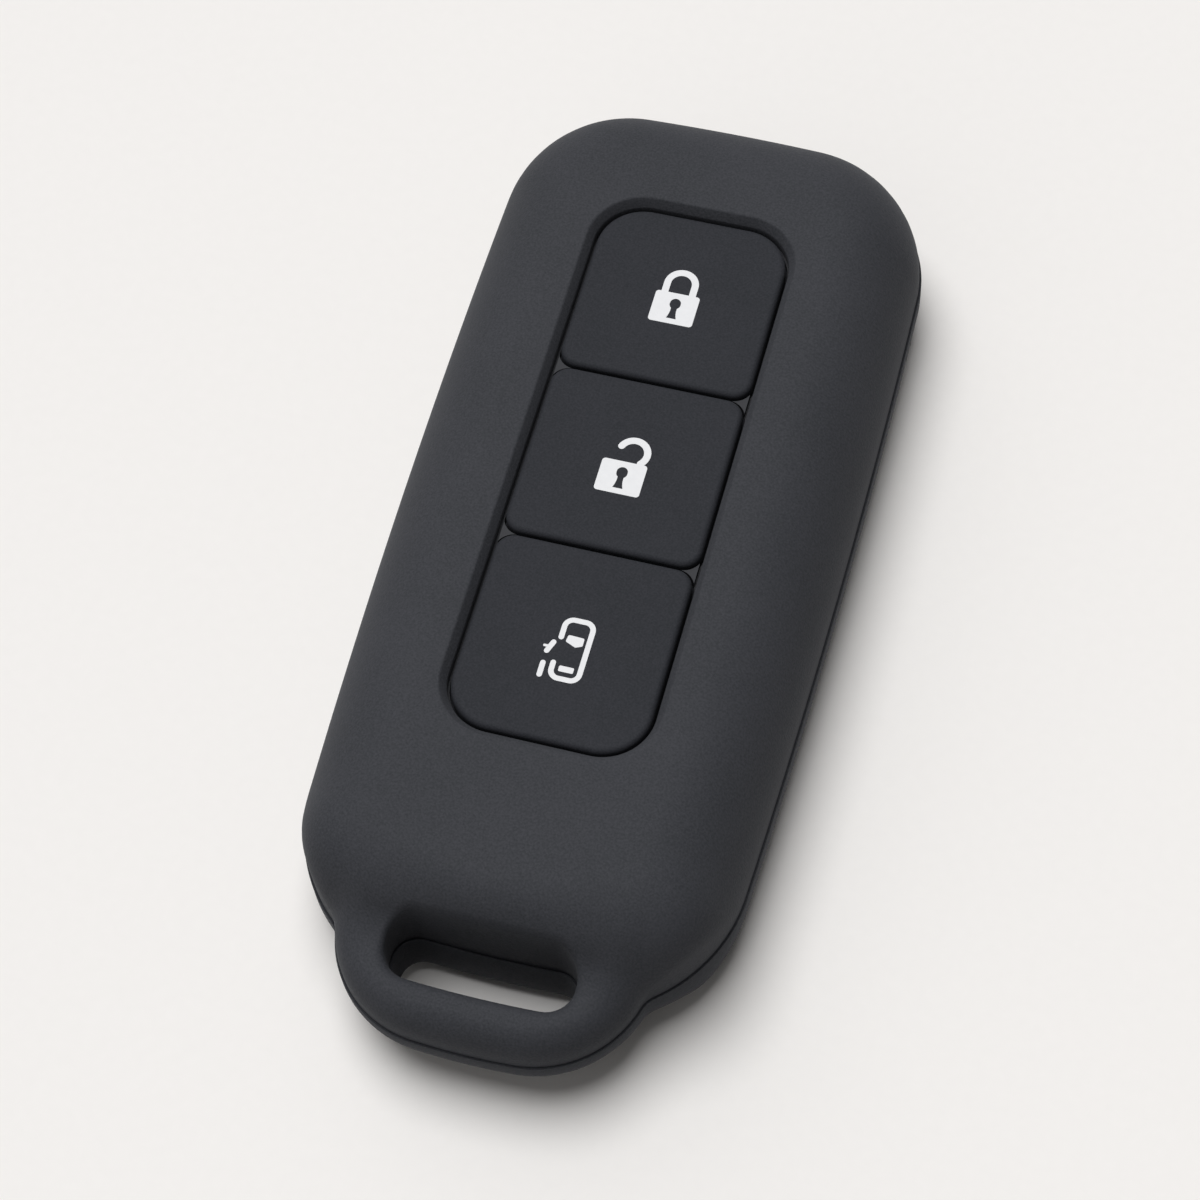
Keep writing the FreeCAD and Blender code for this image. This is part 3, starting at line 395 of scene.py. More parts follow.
def hollow_plan():
    end_y = HOLLOW_END + HOLLOW_CORNER
    reach = math.sqrt((SIDE_RADIUS - WALL - HOLLOW_CORNER) ** 2 - (end_y - CROWN) ** 2)
    end = (side_centre[0] + reach, end_y)
    return closed_loop([
        line_points((0, HOLLOW_END), (end[0], HOLLOW_END), (0, -1)),
        arc_points(end, HOLLOW_CORNER, SOUTH, bearing(side_centre, end)),
        arc_points(side_centre, SIDE_RADIUS - WALL, bearing(side_centre, end), side_to_corner),
        arc_points(corner_centre, CORNER_RADIUS - WALL, side_to_corner, corner_to_top),
        arc_points(top_centre, TOP_RADIUS - WALL, corner_to_top, NORTH)])


def slot_plan(half_width, low, high, radius):
    """A rectangle with round corners, such as the key window or the strap slot."""
    x = half_width - radius
    return closed_loop([
        line_points((0, low), (x, low), (0, -1)),
        arc_points((x, low + radius), radius, SOUTH, 0),
        line_points((half_width, low + radius), (half_width, high - radius), (1, 0)),
        arc_points((x, high - radius), radius, 0, NORTH),
        line_points((x, high), (0, high), (0, 1))])


hollow, hollow_out = hollow_plan()
print("hollow:", len(hollow), "points,", np.ptp(hollow, axis=0).round(2), "mm")

# %% [markdown]
# ## Points inside a plan
# The broad surfaces need points between their edges, or they would be flat facets. Subdividing a face adds
# them blindly. Here a regular field of points is laid over the plan, and those outside it, in a hole or too
# close to an edge are left out.

# %% Points inside a plan
def inside(points, loop):
    """Which points lie within a closed loop."""
    within = np.zeros(len(points), bool)
    x, y = points[:, 0], points[:, 1]
    for start, end in zip(loop, np.roll(loop, -1, axis=0)):
        crosses = (start[1] > y) != (end[1] > y)
        if crosses.any():
            at_x = start[0] + (y - start[1]) / (end[1] - start[1]) * (end[0] - start[0])
            within ^= crosses & (x < at_x)
    return within


def distance(points, loop):
    """How far each point lies from a closed loop."""
    starts, runs = loop, np.roll(loop, -1, axis=0) - loop
    lengths = (runs ** 2).sum(1)
    best = np.full(len(points), np.inf)
    for start, run, length in zip(starts, runs, lengths):
        share = np.clip((points - start) @ run / length, 0, 1)
        best = np.minimum(best, np.hypot(*(points - start - share[:, None] * run).T))
    return best


def scattered(outer, holes, spacing, margin):
    """A regular field of points inside an outer loop, clear of its edge and of the holes."""
    low, high = outer.min(0), outer.max(0)
    rows = np.arange(low[1], high[1], spacing * math.sqrt(0.75))
    columns = np.arange(-math.ceil(-low[0] / spacing) * spacing, high[0], spacing)
    grid = np.array([(x + (row % 2) * spacing / 2, y) for row, y in enumerate(rows) for x in columns])
    grid = grid[inside(grid, outer)]
    for loop in (outer, *holes):
        clear = distance(grid, loop) > margin
        grid = grid[clear if loop is outer else clear & ~inside(grid, loop)]
    return grid


print("points 2 mm apart inside the outline:", len(scattered(outline, [], 2.0, 1.0)))

# %% [markdown]
# ## A builder for skins
# Each shell is one closed skin: rings of points that follow a plan, joined by strips of quads, with flat or
# gently curved fields between the rings. Lofting with modifiers can't leave the window and the slot open,
# so the rings are written out and a constrained triangulation fills each field up to its edges.

# %% Skin builder
SHARP_DEG = 40
MERGE_MM = 1e-5


class Skin:
    """Collects rings, strips and filled fields, in millimetres, and makes one mesh of them."""

    def __init__(self):
        self.points, self.faces = [], []

    def ring(self, plan, height):
        heights = np.broadcast_to(height, len(plan))
        first = len(self.points)
        self.points += [(x, y, z) for (x, y), z in zip(plan, heights)]
        return np.arange(first, first + len(plan))

    def strip(self, first, second):
        """Quads between two rings with as many points."""
        after_first, after_second = np.roll(first, -1), np.roll(second, -1)
        self.faces += [tuple(map(int, quad)) for quad in zip(first, after_first, after_second, second)]

    def sleeve(self, rings):
        for lower, higher in zip(rings, rings[1:]):
            self.strip(lower, higher)

    def field(self, outer, holes, inner_plan=(), height=None):
        """Triangles from an outer ring to the rings of its holes, through any points between."""
        loops = [outer, *holes]
        inner = self.ring(inner_plan, height(inner_plan)) if len(inner_plan) else np.array([], int)
        index = np.concatenate([*loops, inner]).astype(int)
        plan = np.array(self.points)[index][:, :2]
        edges, first = [], 0
        for loop in loops:
            edges += [(first + i, first + (i + 1) % len(loop)) for i in range(len(loop))]
            first += len(loop)
        filled = geometry.delaunay_2d_cdt([Vector(point) for point in plan], edges, [], 1, MERGE_MM)
        corners = np.array([list(face) for face in filled[2]])
        source = np.array([origin[0] for origin in filled[3]])
        middles = np.array([tuple(point) for point in filled[0]])[corners].mean(1)
        keep = np.ones(len(corners), bool)
        for hole in holes:
            keep &= ~inside(middles, np.array(self.points)[hole][:, :2])
        self.faces += [tuple(int(index[source[c]]) for c in corner) for corner in corners[keep]]

    def mesh(self, name):
        mesh = bpy.data.meshes.new(name)
        mesh.from_pydata((np.array(self.points) * MM).tolist(), [], self.faces)
        skin = bmesh.new()
        skin.from_mesh(mesh)
        bmesh.ops.recalc_face_normals(skin, faces=skin.faces)
        open_edges = sum(not edge.is_manifold for edge in skin.edges)
        skin.to_mesh(mesh)
        skin.free()
        mesh.shade_smooth()
        mesh.set_sharp_from_angle(angle=math.radians(SHARP_DEG))
        print(f"{name}: {len(mesh.vertices)} points, {len(mesh.polygons)} faces, {open_edges} open edges")
        return mesh


def add_piece(mesh, body, slot, material, *nodes):
    """Puts a finished mesh in the scene on its CAD body."""
    mesh.materials.clear()
    mesh.materials.append(material)
    piece = bpy.data.objects.new(mesh.name, mesh)
    bpy.context.collection.objects.link(piece)
    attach(piece, body)
    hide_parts(*nodes)
    return piece


print("skin builder ready; edges over", SHARP_DEG, "degrees stay sharp")

# %% [markdown]
# ## Height of the front shell
# The top is flat over the keys. Towards the loop it runs down in an S: a round crest, then a dish that ends
# level with the loop. The outer edge falls away in a quarter ellipse, taller than it is wide, that shrinks
# towards the loop. Round the strap slot the surface rolls in to make a smooth mouth. All of it is one rule
# for the height of a point, so that a ring or a field placed anywhere lies on the same surface.

# %% Curves of the height rule
def eased(y, stations, values):
    """A value that runs smoothly from station to station along the cover."""
    value = np.full(np.shape(y), float(values[0]))
    for low, high, start, end in zip(stations, stations[1:], values, values[1:]):
        share = np.clip((y - low) / (high - low), 0, 1)
        value = value + (end - start) * share ** 2 * (3 - 2 * share)
    return value


def slope_height(y, level, end_level, start, crest, dish):
    """The S from one level to another: a round crest, then a dish."""
    drop = abs(level - end_level)
    sign = math.copysign(1, level - end_level)
    turn = np.arccos(1 - drop / (crest + dish))
    run = np.clip(start - y, 0, (crest + dish) * np.sin(turn))
    over_crest = crest - np.sqrt(np.maximum(crest ** 2 - run ** 2, 0))
    left = (crest + dish) * np.sin(turn) - run
    over_dish = drop - dish + np.sqrt(np.maximum(dish ** 2 - left ** 2, 0))
    return level - sign * np.where(run < crest * np.sin(turn), over_crest, over_dish)


def fallen(share):
    """How far down a quarter ellipse is, at a share of its width from the wall."""
    return 1 - np.sqrt(1 - (1 - np.clip(share, 0, 1)) ** 2)


print("a third of the way in, a round edge is still down by", fallen(1 / 3).round(2), "of its height")

# %% Height rule
SEAM, RIM_TOP, LOOP_TOP = 7.0, 16.75, 11.2
SLOPE_STARTS, CREST_RADII, DISH_RADII, SLOPE_SPREAD = (-33.9, -30.5), (4.2, 9.2), (2.4, 6.4), 13.0
SLOT_NEAR, SLOT_FAR, SLOT_HALF, SLOT_CORNER, SLOT_BOW = -42.8, -37.75, 8.25, 2.4, 0.3
EDGE_STATIONS = (-43.5, -38.0, -27.5)
EDGE_WIDTHS, EDGE_DROPS = (2.5, 3.4, 8.4), (3.3, 3.8, 9.5)
MOUTH_STATIONS = (SLOT_NEAR, SLOT_FAR)
MOUTH_WIDTHS, MOUTH_DROPS = (1.0, 0.4), (1.0, 0.5)


def bowed(plan):
    """The slot's plan, bent a little so that it runs along the nose."""
    return plan + np.stack([0 * plan[:, 0], SLOT_BOW * ((plan[:, 0] / SLOT_HALF) ** 2 - 0.5)], 1)


slot_front, slot_front_out = slot_plan(SLOT_HALF, SLOT_NEAR, SLOT_FAR, SLOT_CORNER)
slot_front = bowed(slot_front)


def front_height(plan, from_edge=None, from_slot=None):
    """Height of the front shell's outside over points of the plan."""
    plan = np.asarray(plan)
    y = plan[:, 1]
    from_edge = distance(plan, outline) if from_edge is None else from_edge
    from_slot = distance(plan, slot_front) if from_slot is None else from_slot
    aside = np.clip(np.abs(plan[:, 0]) / SLOPE_SPREAD, 0, 1) ** 2
    sizes = (low + (high - low) * aside for low, high in (SLOPE_STARTS, CREST_RADII, DISH_RADII))
    height = slope_height(y, RIM_TOP, LOOP_TOP, *sizes)
    edge_width, mouth_width = eased(y, EDGE_STATIONS, EDGE_WIDTHS), eased(y, MOUTH_STATIONS, MOUTH_WIDTHS)
    edge = eased(y, EDGE_STATIONS, EDGE_DROPS) * fallen(from_edge / edge_width)
    mouth = eased(y, MOUTH_STATIONS, MOUTH_DROPS) * fallen(from_slot / mouth_width)
    return height - edge - mouth


print("height over the keys", front_height(np.array([[12.0, 5.0]])).round(2), "mm")

# %% [markdown]
# ## Front shell
# The outside goes from the seam up the wall, over the edge and across the top to the window and the slot.
# The inside has a rebate for the other shell's lip, walls, a rounded roof edge and a flat roof. The foot of
# the wall stands back by less than a tenth of a millimetre, so that the two shells show a fine step where
# they meet.

# %% Rings over an edge and up a bevel
EDGE_RINGS, BEVEL_RINGS = 16, 7
RING_LIMITS = (2.05, 3.2, 8.3)
BEVEL_LOW, BEVEL_WIDTH, BEVEL_ROUND = 15.9, 0.6, 0.3
BEVEL_FOOT_WIDTH, BEVEL_FOOT_RISE = 0.03, 0.06


def edge_rings(skin, widths, height_at, shift):
    """Rings from the wall over the rounded edge, to the given width at each point of the outline."""
    reach = np.minimum(widths, eased(outline[:, 1], EDGE_STATIONS, RING_LIMITS))
    most = np.arccos(1 - reach / widths)
    rings, plan = [], outline
    for share in np.linspace(0, 1, EDGE_RINGS):
        inset = widths * (1 - np.cos(most * share))
        plan = outline - outline_out * inset[:, None]
        height = height_at(plan, inset)
        rings.append(skin.ring(plan + outline_out * shift * (1 - share), height))
    return rings, plan


def bevel_profile():
    """Steps out from the window's wall and heights, up a bevel whose top edge is rounded."""
    turn = math.atan2(RIM_TOP - BEVEL_LOW, BEVEL_WIDTH)
    centre_step = BEVEL_WIDTH + BEVEL_ROUND * math.tan(turn / 2)
    centre_height = RIM_TOP - BEVEL_ROUND
    steps = [(0.0, BEVEL_LOW), (BEVEL_FOOT_WIDTH, BEVEL_LOW + BEVEL_FOOT_RISE)]
    for angle in np.linspace(turn, 0, BEVEL_RINGS):
        step = centre_step - BEVEL_ROUND * math.sin(angle)
        steps.append((step, centre_height + BEVEL_ROUND * math.cos(angle)))
    return steps


print("bevel:", len(bevel_profile()), "rings,", round(bevel_profile()[-1][0], 2), "mm wide")

# %% Outside of the front shell
FRONT_INSET, MOUTH_RINGS = 0.08, 9
WINDOW_HALF, WINDOW_LOW, WINDOW_TOP, WINDOW_CORNER = 9.15, -21.9, 33.22, 4.62
ROOF = 14.85
FINE_BELOW = -29.0
COARSE_SPACING, COARSE_MARGIN = 0.8, 0.45
FINE_SPACING, FINE_MARGIN = 0.4, 0.3

front = Skin()
edge_width = eased(outline[:, 1], EDGE_STATIONS, EDGE_WIDTHS)
edge, top_rim = edge_rings(front, edge_width, lambda plan, inset: front_height(plan, from_edge=inset),
                           -FRONT_INSET)
foot = front.ring(outline - outline_out * FRONT_INSET, SEAM)
front.sleeve([foot, *edge])

slot_foot = front.ring(slot_front, SEAM)
slot_rings = [slot_foot]
mouth_width = eased(slot_front[:, 1], MOUTH_STATIONS, MOUTH_WIDTHS)
for angle in np.linspace(0, math.pi / 2, MOUTH_RINGS):
    step = mouth_width * (1 - np.cos(angle))
    slot_edge = slot_front + slot_front_out * step[:, None]
    slot_rings.append(front.ring(slot_edge, front_height(slot_edge, from_slot=step)))
front.sleeve(slot_rings)

window, window_out = slot_plan(WINDOW_HALF, WINDOW_LOW, WINDOW_TOP, WINDOW_CORNER)
window_rings = [front.ring(window, ROOF)]
for step, height in bevel_profile():
    window_edge = window + window_out * step
    window_rings.append(front.ring(window_edge, height))
front.sleeve(window_rings)

coarse = scattered(top_rim, [window_edge, slot_edge], COARSE_SPACING, COARSE_MARGIN)
fine = scattered(top_rim, [window_edge, slot_edge], FINE_SPACING, FINE_MARGIN)
grid = np.concatenate([coarse[coarse[:, 1] > FINE_BELOW], fine[fine[:, 1] < FINE_BELOW - FINE_SPACING]])
front.field(edge[-1], [window_rings[-1], slot_rings[-1]], grid, front_height)
print("outside of the front shell:", len(front.faces), "faces")

# %% Inside of the front shell
REBATE, REBATE_TOP = 0.92, 8.32
ROOF_EDGE, CURVE_RINGS = 7.0, 9

rebate_plan = hollow + hollow_out * REBATE
rebate = [front.ring(rebate_plan, SEAM), front.ring(rebate_plan, REBATE_TOP), front.ring(hollow, REBATE_TOP)]
for angle in np.linspace(0, math.pi / 2, CURVE_RINGS):
    plan = hollow - hollow_out * ROOF_EDGE * (1 - math.cos(angle))
    rebate.append(front.ring(plan, ROOF - ROOF_EDGE * (1 - math.sin(angle))))
front.sleeve(rebate)
front.field(rebate[-1], [window_rings[0]])
front.field(foot, [rebate[0], slot_foot])
front_mesh = front.mesh("shell_front")

# %% [markdown]
# ## Rear shell
# The tray below the seam has the same plan. Its foot is a flat with a rounded edge, and its end rises in a
# shallow S to the underside of the loop. A thin lip stands up inside the wall to line up the shells. The
# slot is a little smaller here than above, so that a narrow ledge shows at the seam inside it. A fine
# groove along the parting face makes the dark line between the shells; a painted line would not turn with
# the light.

# %% Underside rule and seam groove
LOOP_LOW, UNDER_START, UNDER_RADIUS = 2.0, -32.55, 5.0
UNDER_WIDTHS, UNDER_DROPS = (3.9, 2.2, 4.2), (3.9, 3.2, 5.0)
SEAM_STEP, GROOVE_BREAK = 0.2, 0.05
OUTER_GROOVE, SLOT_GROOVE = (0.04, 0.1), (0.13, 0.4)


def under_height(plan, from_edge=None):
    """Height of the rear shell's underside over points of the plan."""
    plan = np.asarray(plan)
    y = plan[:, 1]
    from_edge = distance(plan, outline) if from_edge is None else from_edge
    height = slope_height(y, 0.0, LOOP_LOW, UNDER_START, UNDER_RADIUS, UNDER_RADIUS)
    edge_width = eased(y, EDGE_STATIONS, UNDER_WIDTHS)
    return height + eased(y, EDGE_STATIONS, UNDER_DROPS) * fallen(from_edge / edge_width)


def lip_rings(skin, plan, into, groove):
    """Rings from the parting face, through the fine groove along the seam, to the wall outside it."""
    width, depth = groove
    low = SEAM - depth
    groove_in, groove_out = plan + into * (SEAM_STEP + depth), plan + into * (SEAM_STEP - width)
    soft_edge = plan + into * GROOVE_BREAK / 3
    return [skin.ring(groove_in, SEAM), skin.ring(groove_in, low), skin.ring(groove_out, low),
            skin.ring(groove_out, SEAM - GROOVE_BREAK), skin.ring(soft_edge, SEAM - GROOVE_BREAK / 3),
            skin.ring(plan, SEAM - GROOVE_BREAK)]


print("underside of the loop at", under_height(np.array([[0.0, SLOT_NEAR]])).round(2), "mm")

# %% Outside of the rear shell
UNDER_SPACING, UNDER_MARGIN = 0.9, 0.5

slot_rear, slot_rear_out = slot_plan(SLOT_HALF - SEAM_STEP, SLOT_NEAR + SEAM_STEP, SLOT_FAR - SEAM_STEP,
                                     SLOT_CORNER - SEAM_STEP)
slot_rear = bowed(slot_rear)
rear = Skin()
under_width = eased(outline[:, 1], EDGE_STATIONS, UNDER_WIDTHS)
rear_out = SEAM_STEP - FRONT_INSET
under, under_rim = edge_rings(rear, under_width, lambda plan, inset: under_height(plan, from_edge=inset),
                              rear_out)
head = lip_rings(rear, outline + outline_out * rear_out, -outline_out, OUTER_GROOVE)
rear.sleeve([*head, *under])
slot_sides = [*lip_rings(rear, slot_rear, slot_rear_out, SLOT_GROOVE),
              rear.ring(slot_rear, under_height(slot_rear))]
rear.sleeve(slot_sides)
grid = scattered(under_rim, [slot_rear], UNDER_SPACING, UNDER_MARGIN)
rear.field(under[-1], [slot_sides[-1]], grid, under_height)
print("outside of the rear shell:", len(rear.faces), "faces")

# %% Inside of the rear shell
LIP, LIP_TOP = 0.8, 8.2
FLOOR, FLOOR_EDGE = 1.9, 2.2

lip_plan = hollow + hollow_out * LIP
lip = [rear.ring(lip_plan, SEAM), rear.ring(lip_plan, LIP_TOP), rear.ring(hollow, LIP_TOP)]
for angle in np.linspace(0, math.pi / 2, CURVE_RINGS):
    plan = hollow - hollow_out * FLOOR_EDGE * (1 - math.cos(angle))
    lip.append(rear.ring(plan, FLOOR + FLOOR_EDGE * (1 - math.sin(angle))))
rear.sleeve(lip)
rear.field(lip[-1], [])
rear.field(head[0], [lip[0], slot_sides[0]])
rear_mesh = rear.mesh("shell_rear")
add_piece(rear_mesh, "rear", "soft_touch_shell", soft_touch, "rear_shell")

# %% [markdown]
# ## Helpers for Geometry Nodes
# The stakes, keys and domes are small shapes that come more than once, so each is one node tree with named
# sizes. A tree is put on an empty mesh as a modifier, its sizes are set by socket identifier, and the
# evaluated result is copied to a plain mesh. Trees work in millimetres.

# %% Geometry Nodes helpers
POSITION, SPLIT, JOIN = "GeometryNodeInputPosition", "ShaderNodeSeparateXYZ", "ShaderNodeCombineXYZ"
MOVE, TRANSFORM = "GeometryNodeSetPosition", "GeometryNodeTransform"
DOUBLES = 1e-7


def new_tree(name, **sizes):
    """A geometry tree with one named size for each keyword, and the outputs that give those sizes."""
    tree = bpy.data.node_groups.new(name, "GeometryNodeTree")
    tree.interface.new_socket("Geometry", in_out="OUTPUT", socket_type="NodeSocketGeometry")
    for label, value in sizes.items():
        socket = tree.interface.new_socket(label, in_out="INPUT", socket_type="NodeSocketFloat")
        socket.default_value = value
    return tree, add_node(tree, "NodeGroupInput").outputs


def end_tree(tree, shape, material):
    """Brings a tree's shape to metres, then realizes, paints and hands it out."""
    metres = add_node(tree, TRANSFORM, {"Geometry": shape, "Scale": (MM, MM, MM)})
    real = add_node(tree, "GeometryNodeRealizeInstances", {"Geometry": metres})
    painted = add_node(tree, "GeometryNodeSetMaterial", {"Geometry": real, "Material": material})
    add_node(tree, "NodeGroupOutput", [painted])


def grown(tree, name, **sizes):
    """A plain mesh of what a tree makes from the given sizes."""
    seed = bpy.data.objects.new(name, bpy.data.meshes.new(f"{name}_seed"))
    bpy.context.collection.objects.link(seed)
    modifier = seed.modifiers.new("grow", "NODES")
    modifier.node_group = tree
    for item in tree.interface.items_tree:
        if item.in_out == "INPUT" and item.name in sizes:
            modifier[item.identifier] = float(sizes[item.name])
    evaluated = seed.evaluated_get(bpy.context.evaluated_depsgraph_get())
    mesh = bpy.data.meshes.new_from_object(evaluated)
    mesh.name = name
    bpy.data.objects.remove(seed)
    print(f"{name}: {len(mesh.vertices)} points, {len(mesh.polygons)} faces")
    return mesh


def outward(mesh):
    """Turns a closed mesh's faces outwards and shades it smooth, with its sharp edges kept."""
    shape = bmesh.new()
    shape.from_mesh(mesh)
    bmesh.ops.remove_doubles(shape, verts=shape.verts, dist=DOUBLES)
    bmesh.ops.recalc_face_normals(shape, faces=shape.faces)
    shape.to_mesh(mesh)
    shape.free()
    mesh.shade_smooth()
    mesh.set_sharp_from_angle(angle=math.radians(SHARP_DEG))
    return mesh


def ringed_barrel(tree, points, rings):
    """A cylinder, the places of its points, and the number of each point's ring, from 0 at the foot."""
    barrel = add_node(tree, "GeometryNodeMeshCylinder", {"Vertices": points, "Side Segments": rings,
                                                         "Radius": 1.0, "Depth": 1.0})
    where = add_node(tree, SPLIT, [add_node(tree, POSITION)]).outputs
    climb = add_node(tree, MATH, [where["Z"], rings, rings / 2], operation="MULTIPLY_ADD")
    return barrel, where, add_node(tree, MATH, [climb], operation="ROUND")


def centred(tree, shape, low, high):
    """Moves a shape along the cover until its middle lies halfway between two places."""
    ends = add_node(tree, MATH, [low, high], operation="ADD")
    middle = add_node(tree, MATH, [ends, 0.5], operation="MULTIPLY")
    return add_node(tree, TRANSFORM, {"Geometry": shape, "Translation": add_node(tree, JOIN, {"Y": middle})})


print("Geometry Nodes helpers ready; points closer than", DOUBLES, "m are merged")

# %% [markdown]
# ## Stakes of the front shell
# Four plastic stakes hang from the roof, pass through the frame and are melted over into round heads, which
# hold it. A profile could be spun, but a stake is simply a Mesh Cylinder whose rings are moved out by a
# rule: the lower rings swell into the head, and the upper two are the stem. Four points carry it, and the
# result is joined to the front shell, because the real stakes are moulded with it.

# %% One stake
FRAME_LOW, STAKE_X, STAKE_FAR, STAKE_NEAR = 11.2, 6.1, 36.92, -25.6
STAKE_STEM, STAKE_HEAD, STAKE_LOW = 1.0, 1.7, 10.6
STAKE_POINTS, STAKE_RINGS, HEAD_RINGS = 28, 8, 6
HEAD_FOOT_SHARE = 0.6

stake_sizes = {"Stem": STAKE_STEM, "Head": STAKE_HEAD, "Low": STAKE_LOW, "Under": FRAME_LOW, "Roof": ROOF,
               "Across": STAKE_X, "Far": STAKE_FAR, "Near": STAKE_NEAR}
tree, size = new_tree("melted_stakes", **stake_sizes)
barrel, where, level = ringed_barrel(tree, STAKE_POINTS, STAKE_RINGS)
in_head = add_node(tree, MATH, [level, HEAD_RINGS + 0.5], operation="LESS_THAN")
is_top = add_node(tree, MATH, [level, STAKE_RINGS - 0.5], operation="GREATER_THAN")

angle = add_node(tree, MATH, [level, math.pi / 2 / HEAD_RINGS], operation="MULTIPLY")
swell = add_node(tree, MATH, [angle], operation="SINE")
head_share = add_node(tree, MATH, [swell, 1 - HEAD_FOOT_SHARE, HEAD_FOOT_SHARE], operation="MULTIPLY_ADD")
head_radius = add_node(tree, MATH, [size["Head"], head_share], operation="MULTIPLY")
radius = add_node(tree, MIX, {"Factor": in_head, "A": size["Stem"], "B": head_radius})

fall = add_node(tree, MATH, [angle], operation="COSINE")
rise = add_node(tree, MATH, [1.0, fall], operation="SUBTRACT")
head_z = add_node(tree, MIX, {"Factor": rise, "A": size["Low"], "B": size["Under"]})
stem_z = add_node(tree, MIX, {"Factor": is_top, "A": size["Under"], "B": size["Roof"]})
z = add_node(tree, MIX, {"Factor": in_head, "A": stem_z, "B": head_z})
x = add_node(tree, MATH, [where["X"], radius], operation="MULTIPLY")
y = add_node(tree, MATH, [where["Y"], radius], operation="MULTIPLY")
stake = add_node(tree, MOVE, {"Geometry": barrel, "Position": add_node(tree, JOIN, [x, y, z])})
print("one stake:", STAKE_RINGS + 1, "rings of", STAKE_POINTS, "points")

# %% Four stakes, joined to the front shell
width = add_node(tree, MATH, [size["Across"], 2.0], operation="MULTIPLY")
length = add_node(tree, MATH, [size["Far"], size["Near"]], operation="SUBTRACT")
corners = add_node(tree, "GeometryNodeMeshGrid", {"Size X": width, "Size Y": length, "Vertices X": 2,
                                                  "Vertices Y": 2})
seats = centred(tree, corners, size["Far"], size["Near"])
row = add_node(tree, "GeometryNodeInstanceOnPoints", {"Points": seats, "Instance": stake})
end_tree(tree, row, soft_touch)

stakes = grown(tree, "stakes", **stake_sizes)
whole = bmesh.new()
whole.from_mesh(front_mesh)
whole.from_mesh(stakes)
whole.to_mesh(front_mesh)
whole.free()
front_mesh.shade_smooth()
front_mesh.set_sharp_from_angle(angle=math.radians(SHARP_DEG))
add_piece(front_mesh, "front", "soft_touch_shell", soft_touch, "front_shell")

# %% [markdown]
# ## Push keys
# The three keys differ only in length and in which end is round to suit the window, so one tree makes them
# all. It bends a Mesh Cylinder: each ring of points is laid along a rectangle with round corners by Sample
# Curve, set in and lifted by the rule of a rounded edge. The lower rings follow a wider rectangle, the
# flange that keeps the key in. A bevelled box would be quicker, but couldn't have two sizes of corner.

# %% Plans of a key
KEY_HALF, KEY_LOW, KEY_TOP = 8.83, 13.35, 16.08
FLANGE_TOP, FLANGE_WIDTH = 14.15, 0.7
KEY_ROUND, OUTER_CORNER, INNER_CORNER = 0.5, 4.3, 1.7
KEY_ENDS = {"lock": (15.079, 32.9), "unlock": (-2.578, 14.759), "door": (-21.58, -2.898)}
CORNER_POINTS = 24

first_low, first_high = KEY_ENDS["lock"]
tree, size = new_tree("push_key", Width=2 * KEY_HALF, Low=first_low, High=first_high, LowCorner=INNER_CORNER,
                      HighCorner=INNER_CORNER, LowFlange=0.0, HighFlange=0.0, Flange=FLANGE_WIDTH,
                      Round=KEY_ROUND, Base=KEY_LOW, Shelf=FLANGE_TOP, Top=KEY_TOP)


def rounded_curve(tree, width, low, high, low_corner, high_corner):
    """A closed curve round a rectangle whose low and high corners have their own radii."""
    length = add_node(tree, MATH, [high, low], operation="SUBTRACT")
    plain = add_node(tree, "GeometryNodeCurvePrimitiveQuadrilateral", {"Width": width, "Height": length})
    place = add_node(tree, SPLIT, [add_node(tree, POSITION)]).outputs
    is_high = add_node(tree, MATH, [place["Y"], 0.0], operation="GREATER_THAN")
    corner = add_node(tree, MIX, {"Factor": is_high, "A": low_corner, "B": high_corner})
    soft = add_node(tree, "GeometryNodeFilletCurve", {"Curve": plain, "Count": CORNER_POINTS,
                                                      "Radius": corner}, mode="POLY")
    return centred(tree, soft, low, high)


cap_curve = rounded_curve(tree, size["Width"], size["Low"], size["High"], size["LowCorner"],
                          size["HighCorner"])
flange_width = add_node(tree, MATH, [size["Flange"], 2.0, size["Width"]], operation="MULTIPLY_ADD")
flange_low = add_node(tree, MATH, [size["Low"], size["LowFlange"]], operation="SUBTRACT")
flange_high = add_node(tree, MATH, [size["High"], size["HighFlange"]], operation="ADD")
low_corner = add_node(tree, MATH, [size["LowCorner"], size["LowFlange"]], operation="ADD")
high_corner = add_node(tree, MATH, [size["HighCorner"], size["HighFlange"]], operation="ADD")
flange_curve = rounded_curve(tree, flange_width, flange_low, flange_high, low_corner, high_corner)
print("key plans: cap", 2 * KEY_HALF, "mm wide, flange", 2 * (KEY_HALF + FLANGE_WIDTH), "mm wide")

# %% Rings of a key
KEY_POINTS, EDGE_STEPS, EDGE_LEVEL = 260, 8, 3
KEY_RINGS = EDGE_LEVEL + EDGE_STEPS + 1
TOP_MARGIN = 0.3
# The curve is sampled a quarter of a point late, so that rounding can't throw the first point to its end.
LATE_SHARE = 0.25 / KEY_POINTS

